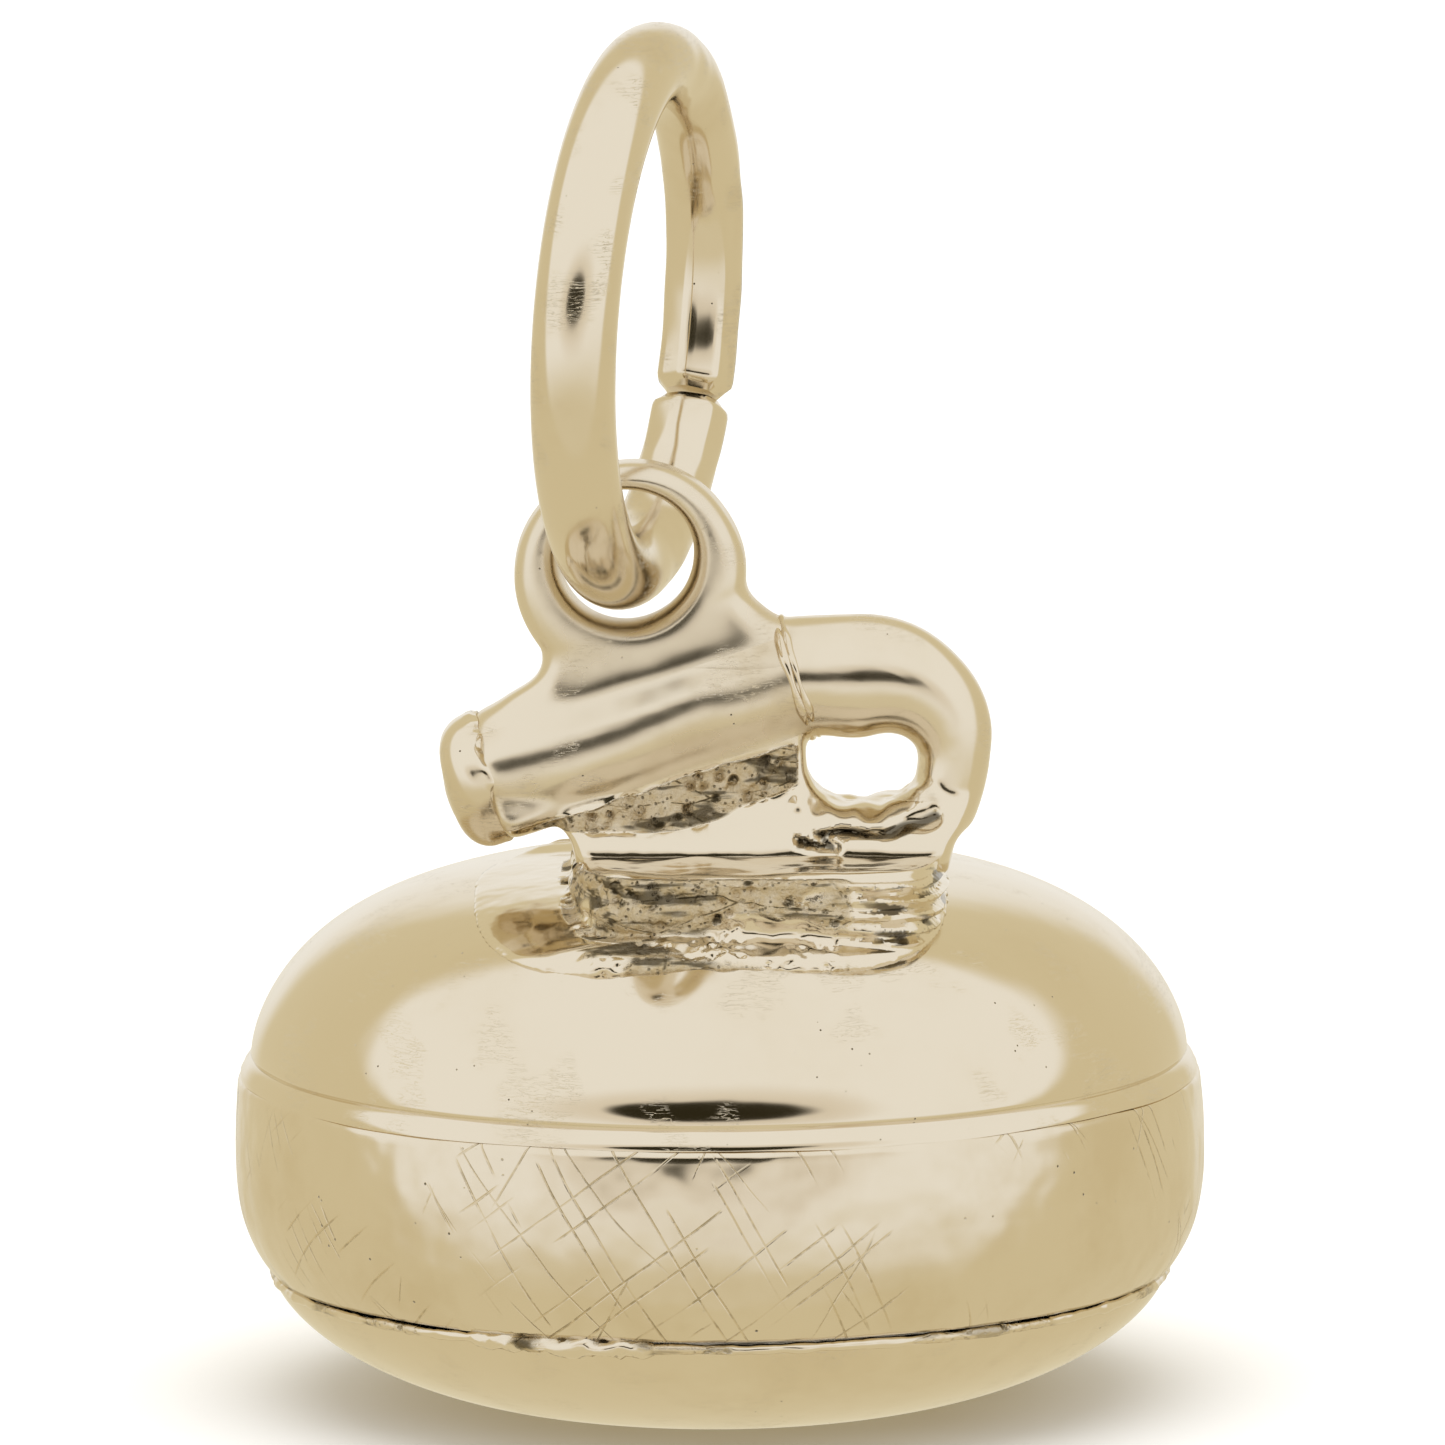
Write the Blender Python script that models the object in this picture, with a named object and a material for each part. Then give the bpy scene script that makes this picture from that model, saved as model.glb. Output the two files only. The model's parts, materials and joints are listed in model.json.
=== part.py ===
"""Curling stone charm: a hollow gold curling stone with its handle, bail and jump ring.

Metres, +Z up. The origin is the centre of the base's standing face, the gooseneck end of the
handle is towards +X, and the handle stands nearer the -Y side of the stone than its middle.
"""
import math

import bmesh
import bpy
from mathutils import Matrix, Vector

MM = 0.001

# Clearances. Soldered pieces keep a hair's gap where the solder is too thin to draw.
GAP = 0.035 * MM
SPIGOT_CLEARANCE = 0.03 * MM
MERGE = 1e-7

# Stone, from the ground up
STONE_RADIUS = 5.65 * MM
STONE_WALL = 0.5 * MM
STONE_SEGMENTS = 72
SPIGOT_LENGTH = 0.5 * MM

BASE_HEIGHT = 1.37 * MM
BASE_RISE_POWER = 1.37
BASE_SIDE_POWER = 3.06
BASE_FLAT_RADIUS = 2.3 * MM
BASE_CUP_RADIUS = 1.7 * MM
BASE_CUP_DEPTH = 0.2 * MM

SEAM_THICKNESS = 0.12 * MM
SEAM_RECESS = 0.03 * MM

BAND_HEIGHT = 2.27 * MM
BAND_UPPER_HEIGHT = 0.78 * MM
BAND_TOP_INSET = 0.04 * MM
BAND_BOTTOM_INSET = 0.38 * MM
BAND_CORNER = 0.1 * MM

DOME_INSET = 0.2 * MM
DOME_LEDGE = 0.14 * MM
DOME_LEDGE_HEIGHT = 0.215 * MM
DOME_RISE = 2.22 * MM
DOME_RISE_POWER = 1.7
DOME_SIDE_POWER = 3.5

SEAM_BOTTOM_Z = BASE_HEIGHT + GAP
SEAM_TOP_Z = SEAM_BOTTOM_Z + SEAM_THICKNESS
BAND_BOTTOM_Z = SEAM_TOP_Z + GAP
BAND_TOP_Z = BAND_BOTTOM_Z + BAND_HEIGHT
DOME_FLANGE_Z = BAND_TOP_Z + GAP
DOME_EDGE_Z = DOME_FLANGE_Z + DOME_LEDGE_HEIGHT
DOME_TOP_Z = DOME_EDGE_Z + DOME_RISE
BAND_TOP_RADIUS = STONE_RADIUS - BAND_TOP_INSET
BAND_BOTTOM_RADIUS = STONE_RADIUS - BAND_BOTTOM_INSET
SEAM_RADIUS = BAND_BOTTOM_RADIUS - SEAM_RECESS
BASE_RADIUS = SEAM_RADIUS - SEAM_RECESS
DOME_RADIUS = STONE_RADIUS - DOME_INSET

# Handle, all of it in one upright plane
HANDLE_Y = -1.5 * MM

FOOT_CENTRE_X = -0.08 * MM
FOOT_HALF_LENGTH = 2.74 * MM
FOOT_HALF_WIDTH = 2.76 * MM
FOOT_THICKNESS = 0.24 * MM
FOOT_POWER = 3.0
FOOT_PEG_RADIUS = 0.6 * MM
FOOT_PEG_LENGTH = 0.8 * MM

TIER_CENTRE_X = 0.46 * MM
TIER_HALF_LENGTH = 2.14 * MM
TIER_HALF_WIDTH = 2.38 * MM
TIER_HEIGHT = 0.4 * MM
TIER_POWER = 4.0
TIER_TOP_Z = DOME_TOP_Z + TIER_HEIGHT

WEB_THICKNESS = 1.1 * MM
WEB_BEVEL = 0.12 * MM
WEB_LEFT_X = -1.83 * MM
WEB_RIGHT_X = 2.62 * MM
WEB_SHOULDER = 0.27 * MM
WEB_SHOULDER_Z = TIER_TOP_Z + WEB_SHOULDER

GRIP_LEFT = Vector((-2.56 * MM, HANDLE_Y, TIER_TOP_Z + 0.85 * MM))
GRIP_RIGHT = Vector((0.87 * MM, HANDLE_Y, TIER_TOP_Z + 1.93 * MM))
GRIP_LEFT_RADIUS = 0.79 * MM
GRIP_RIGHT_RADIUS = 0.7 * MM
GRIP_SEGMENTS = 40
CAP_LENGTH = 0.6 * MM
CAP_ROUNDING = 0.36 * MM
PIN_RADIUS = 0.4 * MM
PIN_LENGTH = 0.35 * MM

COLLAR_LENGTH = 0.14 * MM
COLLAR_STANDOFF = 0.03 * MM

# The finger opening between the grip, the gooseneck and the web
OPENING_LEFT_X = 1.05 * MM
OPENING_LENGTH = 1.24 * MM
OPENING_BOTTOM_Z = WEB_SHOULDER_Z + 0.26 * MM
OPENING_RIGHT_X = OPENING_LEFT_X + OPENING_LENGTH
OPENING_TOP_Z = GRIP_RIGHT.z - 0.68 * MM

NECK_TOP_THICKNESS = 1.43 * MM
NECK_SIDE_THICKNESS = 0.88 * MM
NECK_BEND_REACH = 0.55 * MM
NECK_BEND_DROP = 0.17 * MM
NECK_LEAN = 0.23 * MM
NECK_SEAT_CLEARANCE = 0.08 * MM
NECK_TOP_HALF_DEPTH = 0.68 * MM
NECK_END_HALF_DEPTH = 0.5 * MM
NECK_SEGMENTS = 32

# Bail, on the grip's upper side
BAIL_CENTRE_X = -0.98 * MM
BAIL_CENTRE_Z = GRIP_RIGHT.z + 1.23 * MM
BAIL_RADIUS = 1.33 * MM
BAIL_THICKNESS = 1.0 * MM
BAIL_BEVEL = 0.16 * MM
EYE_RADIUS = 0.77 * MM
EYE_X = BAIL_CENTRE_X - 0.03 * MM
EYE_Z = BAIL_CENTRE_Z + 0.23 * MM

# Jump ring. Its lowest point hangs a little below the eye's middle.
RING_WIRE_RADIUS = 0.475 * MM
RING_RADIUS = 2.92 * MM
RING_LOWEST_Z = EYE_Z - 0.14 * MM
RING_YAW = math.radians(-14.5)
RING_LEAN = math.radians(3.2)
RING_GAP = 0.08 * MM
RING_GAP_ANGLE = math.radians(-26.0)
RING_SEGMENTS = 80
RING_WIRE_SEGMENTS = 20

GOLD = (0.80, 0.67, 0.47)
WARM_GOLD = (0.76, 0.62, 0.42)
PALE_GOLD = (0.84, 0.73, 0.55)


# Helpers

def clear_scene():
    for thing in list(bpy.data.objects):
        bpy.data.objects.remove(thing, do_unlink=True)


def gold(name, colour, roughness):
    """A polished or satin gold alloy."""
    material = bpy.data.materials.new(name)
    material.use_nodes = True
    shader = material.node_tree.nodes["Principled BSDF"]
    shader.inputs["Base Color"].default_value = (*colour, 1.0)
    shader.inputs["Metallic"].default_value = 1.0
    shader.inputs["Roughness"].default_value = roughness
    return material


def axis_empty(name, location, rotation):
    """An empty that stands on an axis and carries the pieces that belong to it."""
    empty = bpy.data.objects.new(name, None)
    empty.location = location
    empty.rotation_euler = rotation
    bpy.context.scene.collection.objects.link(empty)
    return empty


def piece(name, bm, material=None, parent=None, location=(0.0, 0.0, 0.0), smooth_angle=35.0):
    """Turn a bmesh into a named object with its normals facing out."""
    bmesh.ops.recalc_face_normals(bm, faces=bm.faces)
    if bm.calc_volume(signed=True) < 0.0:
        bmesh.ops.reverse_faces(bm, faces=bm.faces)
    mesh = bpy.data.meshes.new(name)
    bm.to_mesh(mesh)
    bm.free()
    mesh.shade_smooth()
    mesh.set_sharp_from_angle(angle=math.radians(smooth_angle))
    if material:
        mesh.materials.append(material)
    thing = bpy.data.objects.new(name, mesh)
    thing.location = location
    thing.parent = parent
    bpy.context.scene.collection.objects.link(thing)
    return thing


def cutter(name, bm, parent=None, location=(0.0, 0.0, 0.0)):
    """A solid that only shapes other pieces."""
    thing = piece(name, bm, parent=parent, location=location)
    thing.hide_render = True
    thing.display_type = "WIRE"
    return thing


def cut(thing, tool, operation="DIFFERENCE"):
    boolean = thing.modifiers.new(tool.name, "BOOLEAN")
    boolean.operation = operation
    boolean.object = tool


def bevel_edges(thing, width, segments=3, angle=40.0):
    bevel = thing.modifiers.new("edge_rounding", "BEVEL")
    bevel.width = width
    bevel.segments = segments
    bevel.limit_method = "ANGLE"
    bevel.angle_limit = math.radians(angle)


def turned(profile, closed, segments):
    """Spin an (r, z) outline about Z. An open outline starts and ends on the axis."""
    bm = bmesh.new()
    points = [bm.verts.new((r, 0.0, z)) for r, z in profile]
    edges = [bm.edges.new(pair) for pair in zip(points, points[1:])]
    if closed:
        edges.append(bm.edges.new((points[-1], points[0])))
    bmesh.ops.spin(bm, geom=points + edges, cent=(0.0, 0.0, 0.0), axis=(0.0, 0.0, 1.0),
                   angle=math.tau, steps=segments, use_merge=True)
    bmesh.ops.remove_doubles(bm, verts=bm.verts, dist=MERGE)
    return bm


def extruded(outline, thickness):
    """Extrude an (x, z) outline along Y, centred on the handle's plane."""
    bm = bmesh.new()
    near = [bm.verts.new((x, HANDLE_Y - thickness / 2, z)) for x, z in outline]
    face = bm.faces.new(near)
    grown = bmesh.ops.extrude_face_region(bm, geom=[face])["geom"]
    far = [item for item in grown if isinstance(item, bmesh.types.BMVert)]
    bmesh.ops.translate(bm, verts=far, vec=(0.0, thickness, 0.0))
    return bm


def arc(centre_x, centre_z, radius, start, end, steps):
    """Points of a circular arc, angles in degrees from +X."""
    angles = [math.radians(start + (end - start) * i / steps) for i in range(steps + 1)]
    return [(centre_x + radius * math.cos(a), centre_z + radius * math.sin(a)) for a in angles]


def smooth_step(t):
    t = min(max(t, 0.0), 1.0)
    return t * t * (3.0 - 2.0 * t)


# Stone

def dome_outline(offset=0.0, steps=15):
    """The dome's (r, z) points from its edge to its top, pushed outwards by offset."""
    points = []
    for i in range(steps + 1):
        a = math.pi / 2 * i / steps
        r = DOME_RADIUS * math.cos(a) ** (2 / DOME_SIDE_POWER) if i < steps else 0.0
        z = DOME_EDGE_Z + (DOME_TOP_Z - DOME_EDGE_Z) * math.sin(a) ** (2 / DOME_RISE_POWER)
        points.append((r, z))
    if offset == 0.0:
        return points
    moved = []
    for i, (r, z) in enumerate(points):
        before = points[max(i - 1, 0)]
        after = points[min(i + 1, steps)]
        run = math.hypot(after[0] - before[0], after[1] - before[1])
        outward = ((after[1] - before[1]) / run, (before[0] - after[0]) / run)
        if i == steps:
            outward = (0.0, 1.0)
        moved.append((r + offset * outward[0], z + offset * outward[1]))
    return moved


def dome_height(x, y):
    """The dome's height above a plan position."""
    share = min(math.hypot(x, y) / DOME_RADIUS, 1.0)
    rise = (1.0 - share ** DOME_SIDE_POWER) ** (1 / DOME_RISE_POWER)
    return DOME_EDGE_Z + (DOME_TOP_Z - DOME_EDGE_Z) * rise


def build_top_shell(material):
    """Upper shell: dome, ledge and the spigot that drops inside the band."""
    spigot_radius = BAND_TOP_RADIUS - STONE_WALL - SPIGOT_CLEARANCE
    spigot_z = DOME_FLANGE_Z - SPIGOT_LENGTH
    ledge_radius = DOME_RADIUS + DOME_LEDGE
    inside = dome_outline(-STONE_WALL)
    profile = dome_outline()[::-1]
    profile += [(ledge_radius - DOME_LEDGE / 3, DOME_EDGE_Z - DOME_LEDGE_HEIGHT / 2),
                (ledge_radius, DOME_FLANGE_Z + DOME_LEDGE_HEIGHT / 3), (ledge_radius, DOME_FLANGE_Z),
                (spigot_radius, DOME_FLANGE_Z), (spigot_radius, spigot_z), (inside[0][0], spigot_z)]
    profile += inside
    shell = piece("stone_top_shell", turned(profile, False, STONE_SEGMENTS), material)
    bore = bmesh.new()
    bmesh.ops.create_cone(bore, cap_ends=True, segments=24, radius1=FOOT_PEG_RADIUS + SPIGOT_CLEARANCE,
                          radius2=FOOT_PEG_RADIUS + SPIGOT_CLEARANCE, depth=4 * STONE_WALL)
    cut(shell, cutter("peg_bore", bore, location=(FOOT_CENTRE_X, HANDLE_Y, DOME_TOP_Z)))
    return shell


def band_outline():
    """The striking band's outer face from its top edge to its bottom edge: a soft barrel."""
    points = []
    for i in range(5):
        t = i / 4
        points.append((BAND_TOP_RADIUS + BAND_TOP_INSET * math.sin(t * math.pi / 2),
                       BAND_TOP_Z - BAND_UPPER_HEIGHT * t))
    for i in range(1, 9):
        t = i / 8
        points.append((STONE_RADIUS - BAND_BOTTOM_INSET * t ** 3.2,
                       BAND_TOP_Z - BAND_UPPER_HEIGHT - (BAND_HEIGHT - BAND_UPPER_HEIGHT) * t))
    return points


def build_band(material):
    """Striking band: a heavy hoop, stepped inside for the upper and the lower spigot."""
    upper_bore = BAND_TOP_RADIUS - STONE_WALL
    lower_bore = BAND_BOTTOM_RADIUS - STONE_WALL
    step_z = BAND_TOP_Z - SPIGOT_LENGTH - GAP
    profile = [(upper_bore, BAND_TOP_Z), (BAND_TOP_RADIUS - BAND_CORNER, BAND_TOP_Z)]
    profile += [(r, z - (BAND_CORNER if i == 0 else 0.0)) for i, (r, z) in enumerate(band_outline())]
    profile += [(lower_bore, BAND_BOTTOM_Z), (lower_bore, step_z), (upper_bore, step_z)]
    return piece("striking_band", turned(profile, True, STONE_SEGMENTS), material)


def build_seam(material):
    """The solder ring that joins the band to the base."""
    inner = BAND_BOTTOM_RADIUS - STONE_WALL + GAP
    edge = SEAM_THICKNESS / 4
    profile = [(inner, SEAM_TOP_Z), (SEAM_RADIUS - edge, SEAM_TOP_Z), (SEAM_RADIUS, SEAM_TOP_Z - edge),
               (SEAM_RADIUS, SEAM_BOTTOM_Z + edge), (SEAM_RADIUS - edge, SEAM_BOTTOM_Z),
               (inner, SEAM_BOTTOM_Z)]
    return piece("base_solder_seam", turned(profile, True, STONE_SEGMENTS), material)


def base_outline(offset=0.0, steps=10):
    """The base's (r, z) points from its upper edge down to the edge of its standing face."""
    flat_share = (1.0 - (BASE_FLAT_RADIUS / BASE_RADIUS) ** BASE_SIDE_POWER) ** (1 / BASE_RISE_POWER)
    last = math.asin(flat_share ** (BASE_RISE_POWER / 2))
    points = []
    for i in range(steps + 1):
        a = last * i / steps
        r = BASE_RADIUS * math.cos(a) ** (2 / BASE_SIDE_POWER)
        z = BASE_HEIGHT * (1.0 - math.sin(a) ** (2 / BASE_RISE_POWER) / flat_share)
        points.append((r - offset * math.cos(a), z + offset * math.sin(a)))
    return points


def build_base_shell(material):
    """Lower shell: a shallow bowl with a standing ring, a dished middle and an upstanding spigot."""
    spigot_radius = BAND_BOTTOM_RADIUS - STONE_WALL - SPIGOT_CLEARANCE
    spigot_z = BAND_BOTTOM_Z + SPIGOT_LENGTH
    spigot_bore = spigot_radius - STONE_WALL
    floor_z = BASE_CUP_DEPTH + STONE_WALL
    inside = [(r, z) for r, z in base_outline(STONE_WALL) if r < spigot_bore and z > floor_z]
    profile = [(0.0, BASE_CUP_DEPTH), (BASE_CUP_RADIUS * 0.6, BASE_CUP_DEPTH * 0.9),
               (BASE_CUP_RADIUS * 0.9, BASE_CUP_DEPTH * 0.5), (BASE_CUP_RADIUS, 0.0)]
    profile += base_outline()[::-1]
    profile += [(spigot_radius, BASE_HEIGHT), (spigot_radius, spigot_z), (spigot_bore, spigot_z)]
    profile += inside
    profile += [(0.0, floor_z)]
    return piece("stone_base_shell", turned(profile, False, STONE_SEGMENTS), material)


# Handle

def rounded_loop(bm, centre_x, half_length, half_width, power, inset, height, turns):
    """A closed loop on a rounded rectangle round (centre_x, HANDLE_Y), height(x, y) above ground."""
    points = []
    for turn in range(turns):
        a = math.tau * turn / turns
        c, s = math.cos(a), math.sin(a)
        rim = (abs(c / half_length) ** power + abs(s / half_width) ** power) ** (-1 / power)
        x, y = centre_x + (rim - inset) * c, HANDLE_Y + (rim - inset) * s
        points.append(bm.verts.new((x, y, height(x, y))))
    return [bm.edges.new((points[i - 1], points[i])) for i in range(turns)]


def block(loops_wanted, centre_x, half_length, half_width, power, turns=56):
    """A closed solid through (inset, height) loops, its ends filled."""
    bm = bmesh.new()
    loops = [rounded_loop(bm, centre_x, half_length, half_width, power, inset, height, turns)
             for inset, height in loops_wanted]
    for first, second in zip(loops, loops[1:]):
        bmesh.ops.bridge_loops(bm, edges=first + second)
    bmesh.ops.edgeloop_fill(bm, edges=loops[0])
    bmesh.ops.edgeloop_fill(bm, edges=loops[-1])
    return bm


def build_foot(material):
    """Foot: a flange draped over the dome, a flat-topped tier on it, and a peg into the dome."""
    under = DOME_EDGE_Z
    edge = 0.07 * MM

    def draped(x, y):
        return dome_height(x, y) + FOOT_THICKNESS

    reach = min(FOOT_HALF_LENGTH, FOOT_HALF_WIDTH)
    rings = 7
    loops = [(reach * (1.0 - (i + 1) / (rings + 1)), draped) for i in range(rings)]
    loops += [(edge, draped), (0.0, lambda x, y: draped(x, y) - edge), (0.0, lambda x, y: under)]
    foot = piece("handle_foot", block(loops, FOOT_CENTRE_X, FOOT_HALF_LENGTH, FOOT_HALF_WIDTH,
                                      FOOT_POWER), material)
    steps = ((2 * edge, 0.0), (edge / 2, edge / 2), (0.0, 2 * edge), (0.0, TIER_TOP_Z - under))
    tier_loops = [(inset, lambda x, y, drop=drop: TIER_TOP_Z - drop) for inset, drop in steps]
    tier = block(tier_loops, TIER_CENTRE_X, TIER_HALF_LENGTH, TIER_HALF_WIDTH, TIER_POWER)
    room = dome_outline(GAP)[::-1]
    room += [(room[-1][0], DOME_EDGE_Z - STONE_WALL), (0.0, DOME_EDGE_Z - STONE_WALL)]
    peg = bmesh.new()
    bmesh.ops.create_cone(peg, cap_ends=True, segments=24, radius1=FOOT_PEG_RADIUS,
                          radius2=FOOT_PEG_RADIUS, depth=FOOT_PEG_LENGTH + FOOT_THICKNESS)
    peg_middle = DOME_TOP_Z + (FOOT_THICKNESS - FOOT_PEG_LENGTH) / 2
    cut(foot, cutter("foot_tier", tier), "UNION")
    cut(foot, cutter("dome_room", turned(room, False, STONE_SEGMENTS)))
    cut(foot, cutter("foot_peg", peg, location=(FOOT_CENTRE_X, HANDLE_Y, peg_middle)), "UNION")
    return foot


def grip_direction():
    return (GRIP_RIGHT - GRIP_LEFT).normalized()


def along_grip(distance):
    return GRIP_LEFT + grip_direction() * distance


def grip_length():
    return (GRIP_RIGHT - GRIP_LEFT).length


def grip_radius(distance):
    """The grip tapers evenly from its left end to the collar."""
    share = distance / grip_length()
    return GRIP_LEFT_RADIUS + (GRIP_RIGHT_RADIUS - GRIP_LEFT_RADIUS) * share


def grip_axis():
    """An empty at the grip's left end, its Z along the grip."""
    direction = grip_direction()
    return axis_empty("grip_axis", GRIP_LEFT, (0.0, math.atan2(direction.x, direction.z), 0.0))


def build_grip(material, axis):
    """Grip: a tapered bar with a blind bore in each end."""
    length = grip_length()
    bore = PIN_RADIUS + SPIGOT_CLEARANCE
    depth = PIN_LENGTH + GAP
    edge = 0.04 * MM
    profile = [(0.0, depth), (bore, depth), (bore, 0.0), (GRIP_LEFT_RADIUS - edge, 0.0),
               (GRIP_LEFT_RADIUS, edge)]
    profile += [(grip_radius(length * i / 6), length * i / 6) for i in range(1, 6)]
    profile += [(GRIP_RIGHT_RADIUS, length - edge), (GRIP_RIGHT_RADIUS - edge, length),
                (bore, length), (bore, length - depth), (0.0, length - depth)]
    return piece("handle_grip", turned(profile, False, GRIP_SEGMENTS), material, axis)


def grip_clearance(axis):
    """The room that the grip needs in what is soldered to its side."""
    length = grip_length()
    past = CAP_LENGTH
    profile = [(0.0, -past), (grip_radius(-past) + GAP, -past),
               (grip_radius(length + past) + GAP, length + past), (0.0, length + past)]
    return cutter("grip_clearance", turned(profile, False, GRIP_SEGMENTS), axis)


def build_end_cap(material, axis):
    """End cap: a rounded button whose pin enters the grip."""
    radius = GRIP_LEFT_RADIUS
    profile = [(0.0, -CAP_LENGTH), (radius * 0.3, -CAP_LENGTH * 0.985)]
    for i in range(9):
        a = math.pi / 2 * i / 8
        profile.append((radius - CAP_ROUNDING + CAP_ROUNDING * math.sin(a),
                        -CAP_LENGTH + CAP_LENGTH * 0.06 + CAP_ROUNDING * (1.0 - math.cos(a))))
    edge = 0.04 * MM
    profile += [(radius, -GAP - edge), (radius - edge, -GAP), (PIN_RADIUS, -GAP),
                (PIN_RADIUS, PIN_LENGTH), (0.0, PIN_LENGTH)]
    return piece("grip_end_cap", turned(profile, False, GRIP_SEGMENTS), material, axis)


def build_collar(material, axis):
    """Collar: a thin washer with two fine beads, threaded on the gooseneck's pin."""
    start = grip_length() + GAP
    radius = GRIP_RIGHT_RADIUS + COLLAR_STANDOFF
    bead = COLLAR_LENGTH / 4
    profile = [(PIN_RADIUS + SPIGOT_CLEARANCE, start)]
    for middle in (bead, 3 * bead):
        for i in range(5):
            a = math.pi * i / 4
            profile.append((radius - bead + bead * math.sin(a), start + middle - bead * math.cos(a)))
    profile.append((PIN_RADIUS + SPIGOT_CLEARANCE, start + COLLAR_LENGTH))
    unique = [point for i, point in enumerate(profile) if i == 0 or point != profile[i - 1]]
    return piece("grip_collar", turned(unique, True, GRIP_SEGMENTS), material, axis)


def neck_stations():
    """The gooseneck's stations: centre, heading and half sizes, from the collar to the web.

    A level start from the collar, an elliptical quarter bend, and a leaning drop to the web.
    """
    start = along_grip(grip_length() + COLLAR_LENGTH + 2 * GAP)
    top_half = NECK_TOP_THICKNESS / 2
    side_half = NECK_SIDE_THICKNESS / 2
    top_z = OPENING_TOP_Z + top_half
    side_x = OPENING_RIGHT_X + side_half
    bend_x = OPENING_RIGHT_X - NECK_BEND_REACH
    bend_z = OPENING_TOP_Z - NECK_BEND_DROP
    lean = math.atan2(grip_direction().z, grip_direction().x)
    depth_drop = NECK_TOP_HALF_DEPTH - NECK_END_HALF_DEPTH
    stations = [(start.x, start.z, lean, GRIP_RIGHT_RADIUS, GRIP_RIGHT_RADIUS)]
    level = 4
    for i in range(1, level):
        t = i / level
        s = smooth_step(t)
        stations.append((start.x + (bend_x - start.x) * t,
                         start.z + (top_z - start.z) * math.sin(t * math.pi / 2), lean * (1.0 - s),
                         GRIP_RIGHT_RADIUS + (top_half - GRIP_RIGHT_RADIUS) * s,
                         GRIP_RIGHT_RADIUS + (NECK_TOP_HALF_DEPTH - GRIP_RIGHT_RADIUS) * s))
    bend = 12
    for i in range(bend + 1):
        a = math.pi / 2 * i / bend
        t = i / bend
        heading = -math.atan2((top_z - bend_z) * math.sin(a), (side_x - bend_x) * math.cos(a))
        stations.append((bend_x + (side_x - bend_x) * math.sin(a),
                         bend_z + (top_z - bend_z) * math.cos(a), heading,
                         top_half + (side_half - top_half) * t,
                         NECK_TOP_HALF_DEPTH - 0.5 * depth_drop * t))
    drop = 4
    end_z = WEB_SHOULDER_Z + GAP
    for i in range(1, drop + 1):
        t = i / drop
        stations.append((side_x - NECK_LEAN * t * t, bend_z + (end_z - bend_z) * t, -math.pi / 2,
                         side_half, NECK_TOP_HALF_DEPTH - 0.5 * depth_drop * (1.0 + t)))
    return stations


def build_gooseneck(material, axis):
    """Gooseneck: a thick oval bar that bends down to the web, with a pin through the collar."""
    bm = bmesh.new()
    loops = []
    for x, z, heading, half_height, half_depth in neck_stations():
        up = Vector((-math.sin(heading), 0.0, math.cos(heading)))
        points = []
        for i in range(NECK_SEGMENTS):
            a = math.tau * i / NECK_SEGMENTS
            place = Vector((x, HANDLE_Y, z)) + up * (half_height * math.cos(a))
            place.y += half_depth * math.sin(a)
            points.append(bm.verts.new(place))
        loops.append([bm.edges.new((points[i - 1], points[i])) for i in range(NECK_SEGMENTS)])
    for first, second in zip(loops, loops[1:]):
        bmesh.ops.bridge_loops(bm, edges=first + second)
    bmesh.ops.edgeloop_fill(bm, edges=loops[0])
    bmesh.ops.edgeloop_fill(bm, edges=loops[-1])
    neck = piece("gooseneck", bm, material)
    length = grip_length()
    profile = [(0.0, length - PIN_LENGTH), (PIN_RADIUS, length - PIN_LENGTH),
               (PIN_RADIUS, length + 2 * PIN_LENGTH), (0.0, length + 2 * PIN_LENGTH)]
    cut(neck, cutter("gooseneck_pin", turned(profile, False, GRIP_SEGMENTS), axis), "UNION")
    return neck


def build_web(material, grip_room):
    """Web: the upright plate between the foot, the grip and the gooseneck."""
    corner = 0.2 * MM
    landing_left = OPENING_RIGHT_X - NECK_LEAN - NECK_SEAT_CLEARANCE
    landing_right = OPENING_RIGHT_X - NECK_LEAN + NECK_SIDE_THICKNESS
    foot_z = TIER_TOP_Z + GAP
    under_grip_z = along_grip(0.3 * MM).z
    outline = [(WEB_LEFT_X + 0.1 * MM, foot_z), (WEB_LEFT_X, under_grip_z),
               (OPENING_LEFT_X, GRIP_RIGHT.z)]
    outline += arc(OPENING_LEFT_X + corner, OPENING_BOTTOM_Z + corner, corner, 180, 270, 5)
    outline += [(landing_left - corner, OPENING_BOTTOM_Z), (landing_left, OPENING_BOTTOM_Z - 0.12 * MM),
                (landing_left, WEB_SHOULDER_Z), (landing_right, WEB_SHOULDER_Z),
                (WEB_RIGHT_X, foot_z)]
    web = piece("handle_web", extruded(outline, WEB_THICKNESS), material)
    bevel_edges(web, WEB_BEVEL)
    cut(web, grip_room)
    return web


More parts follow.
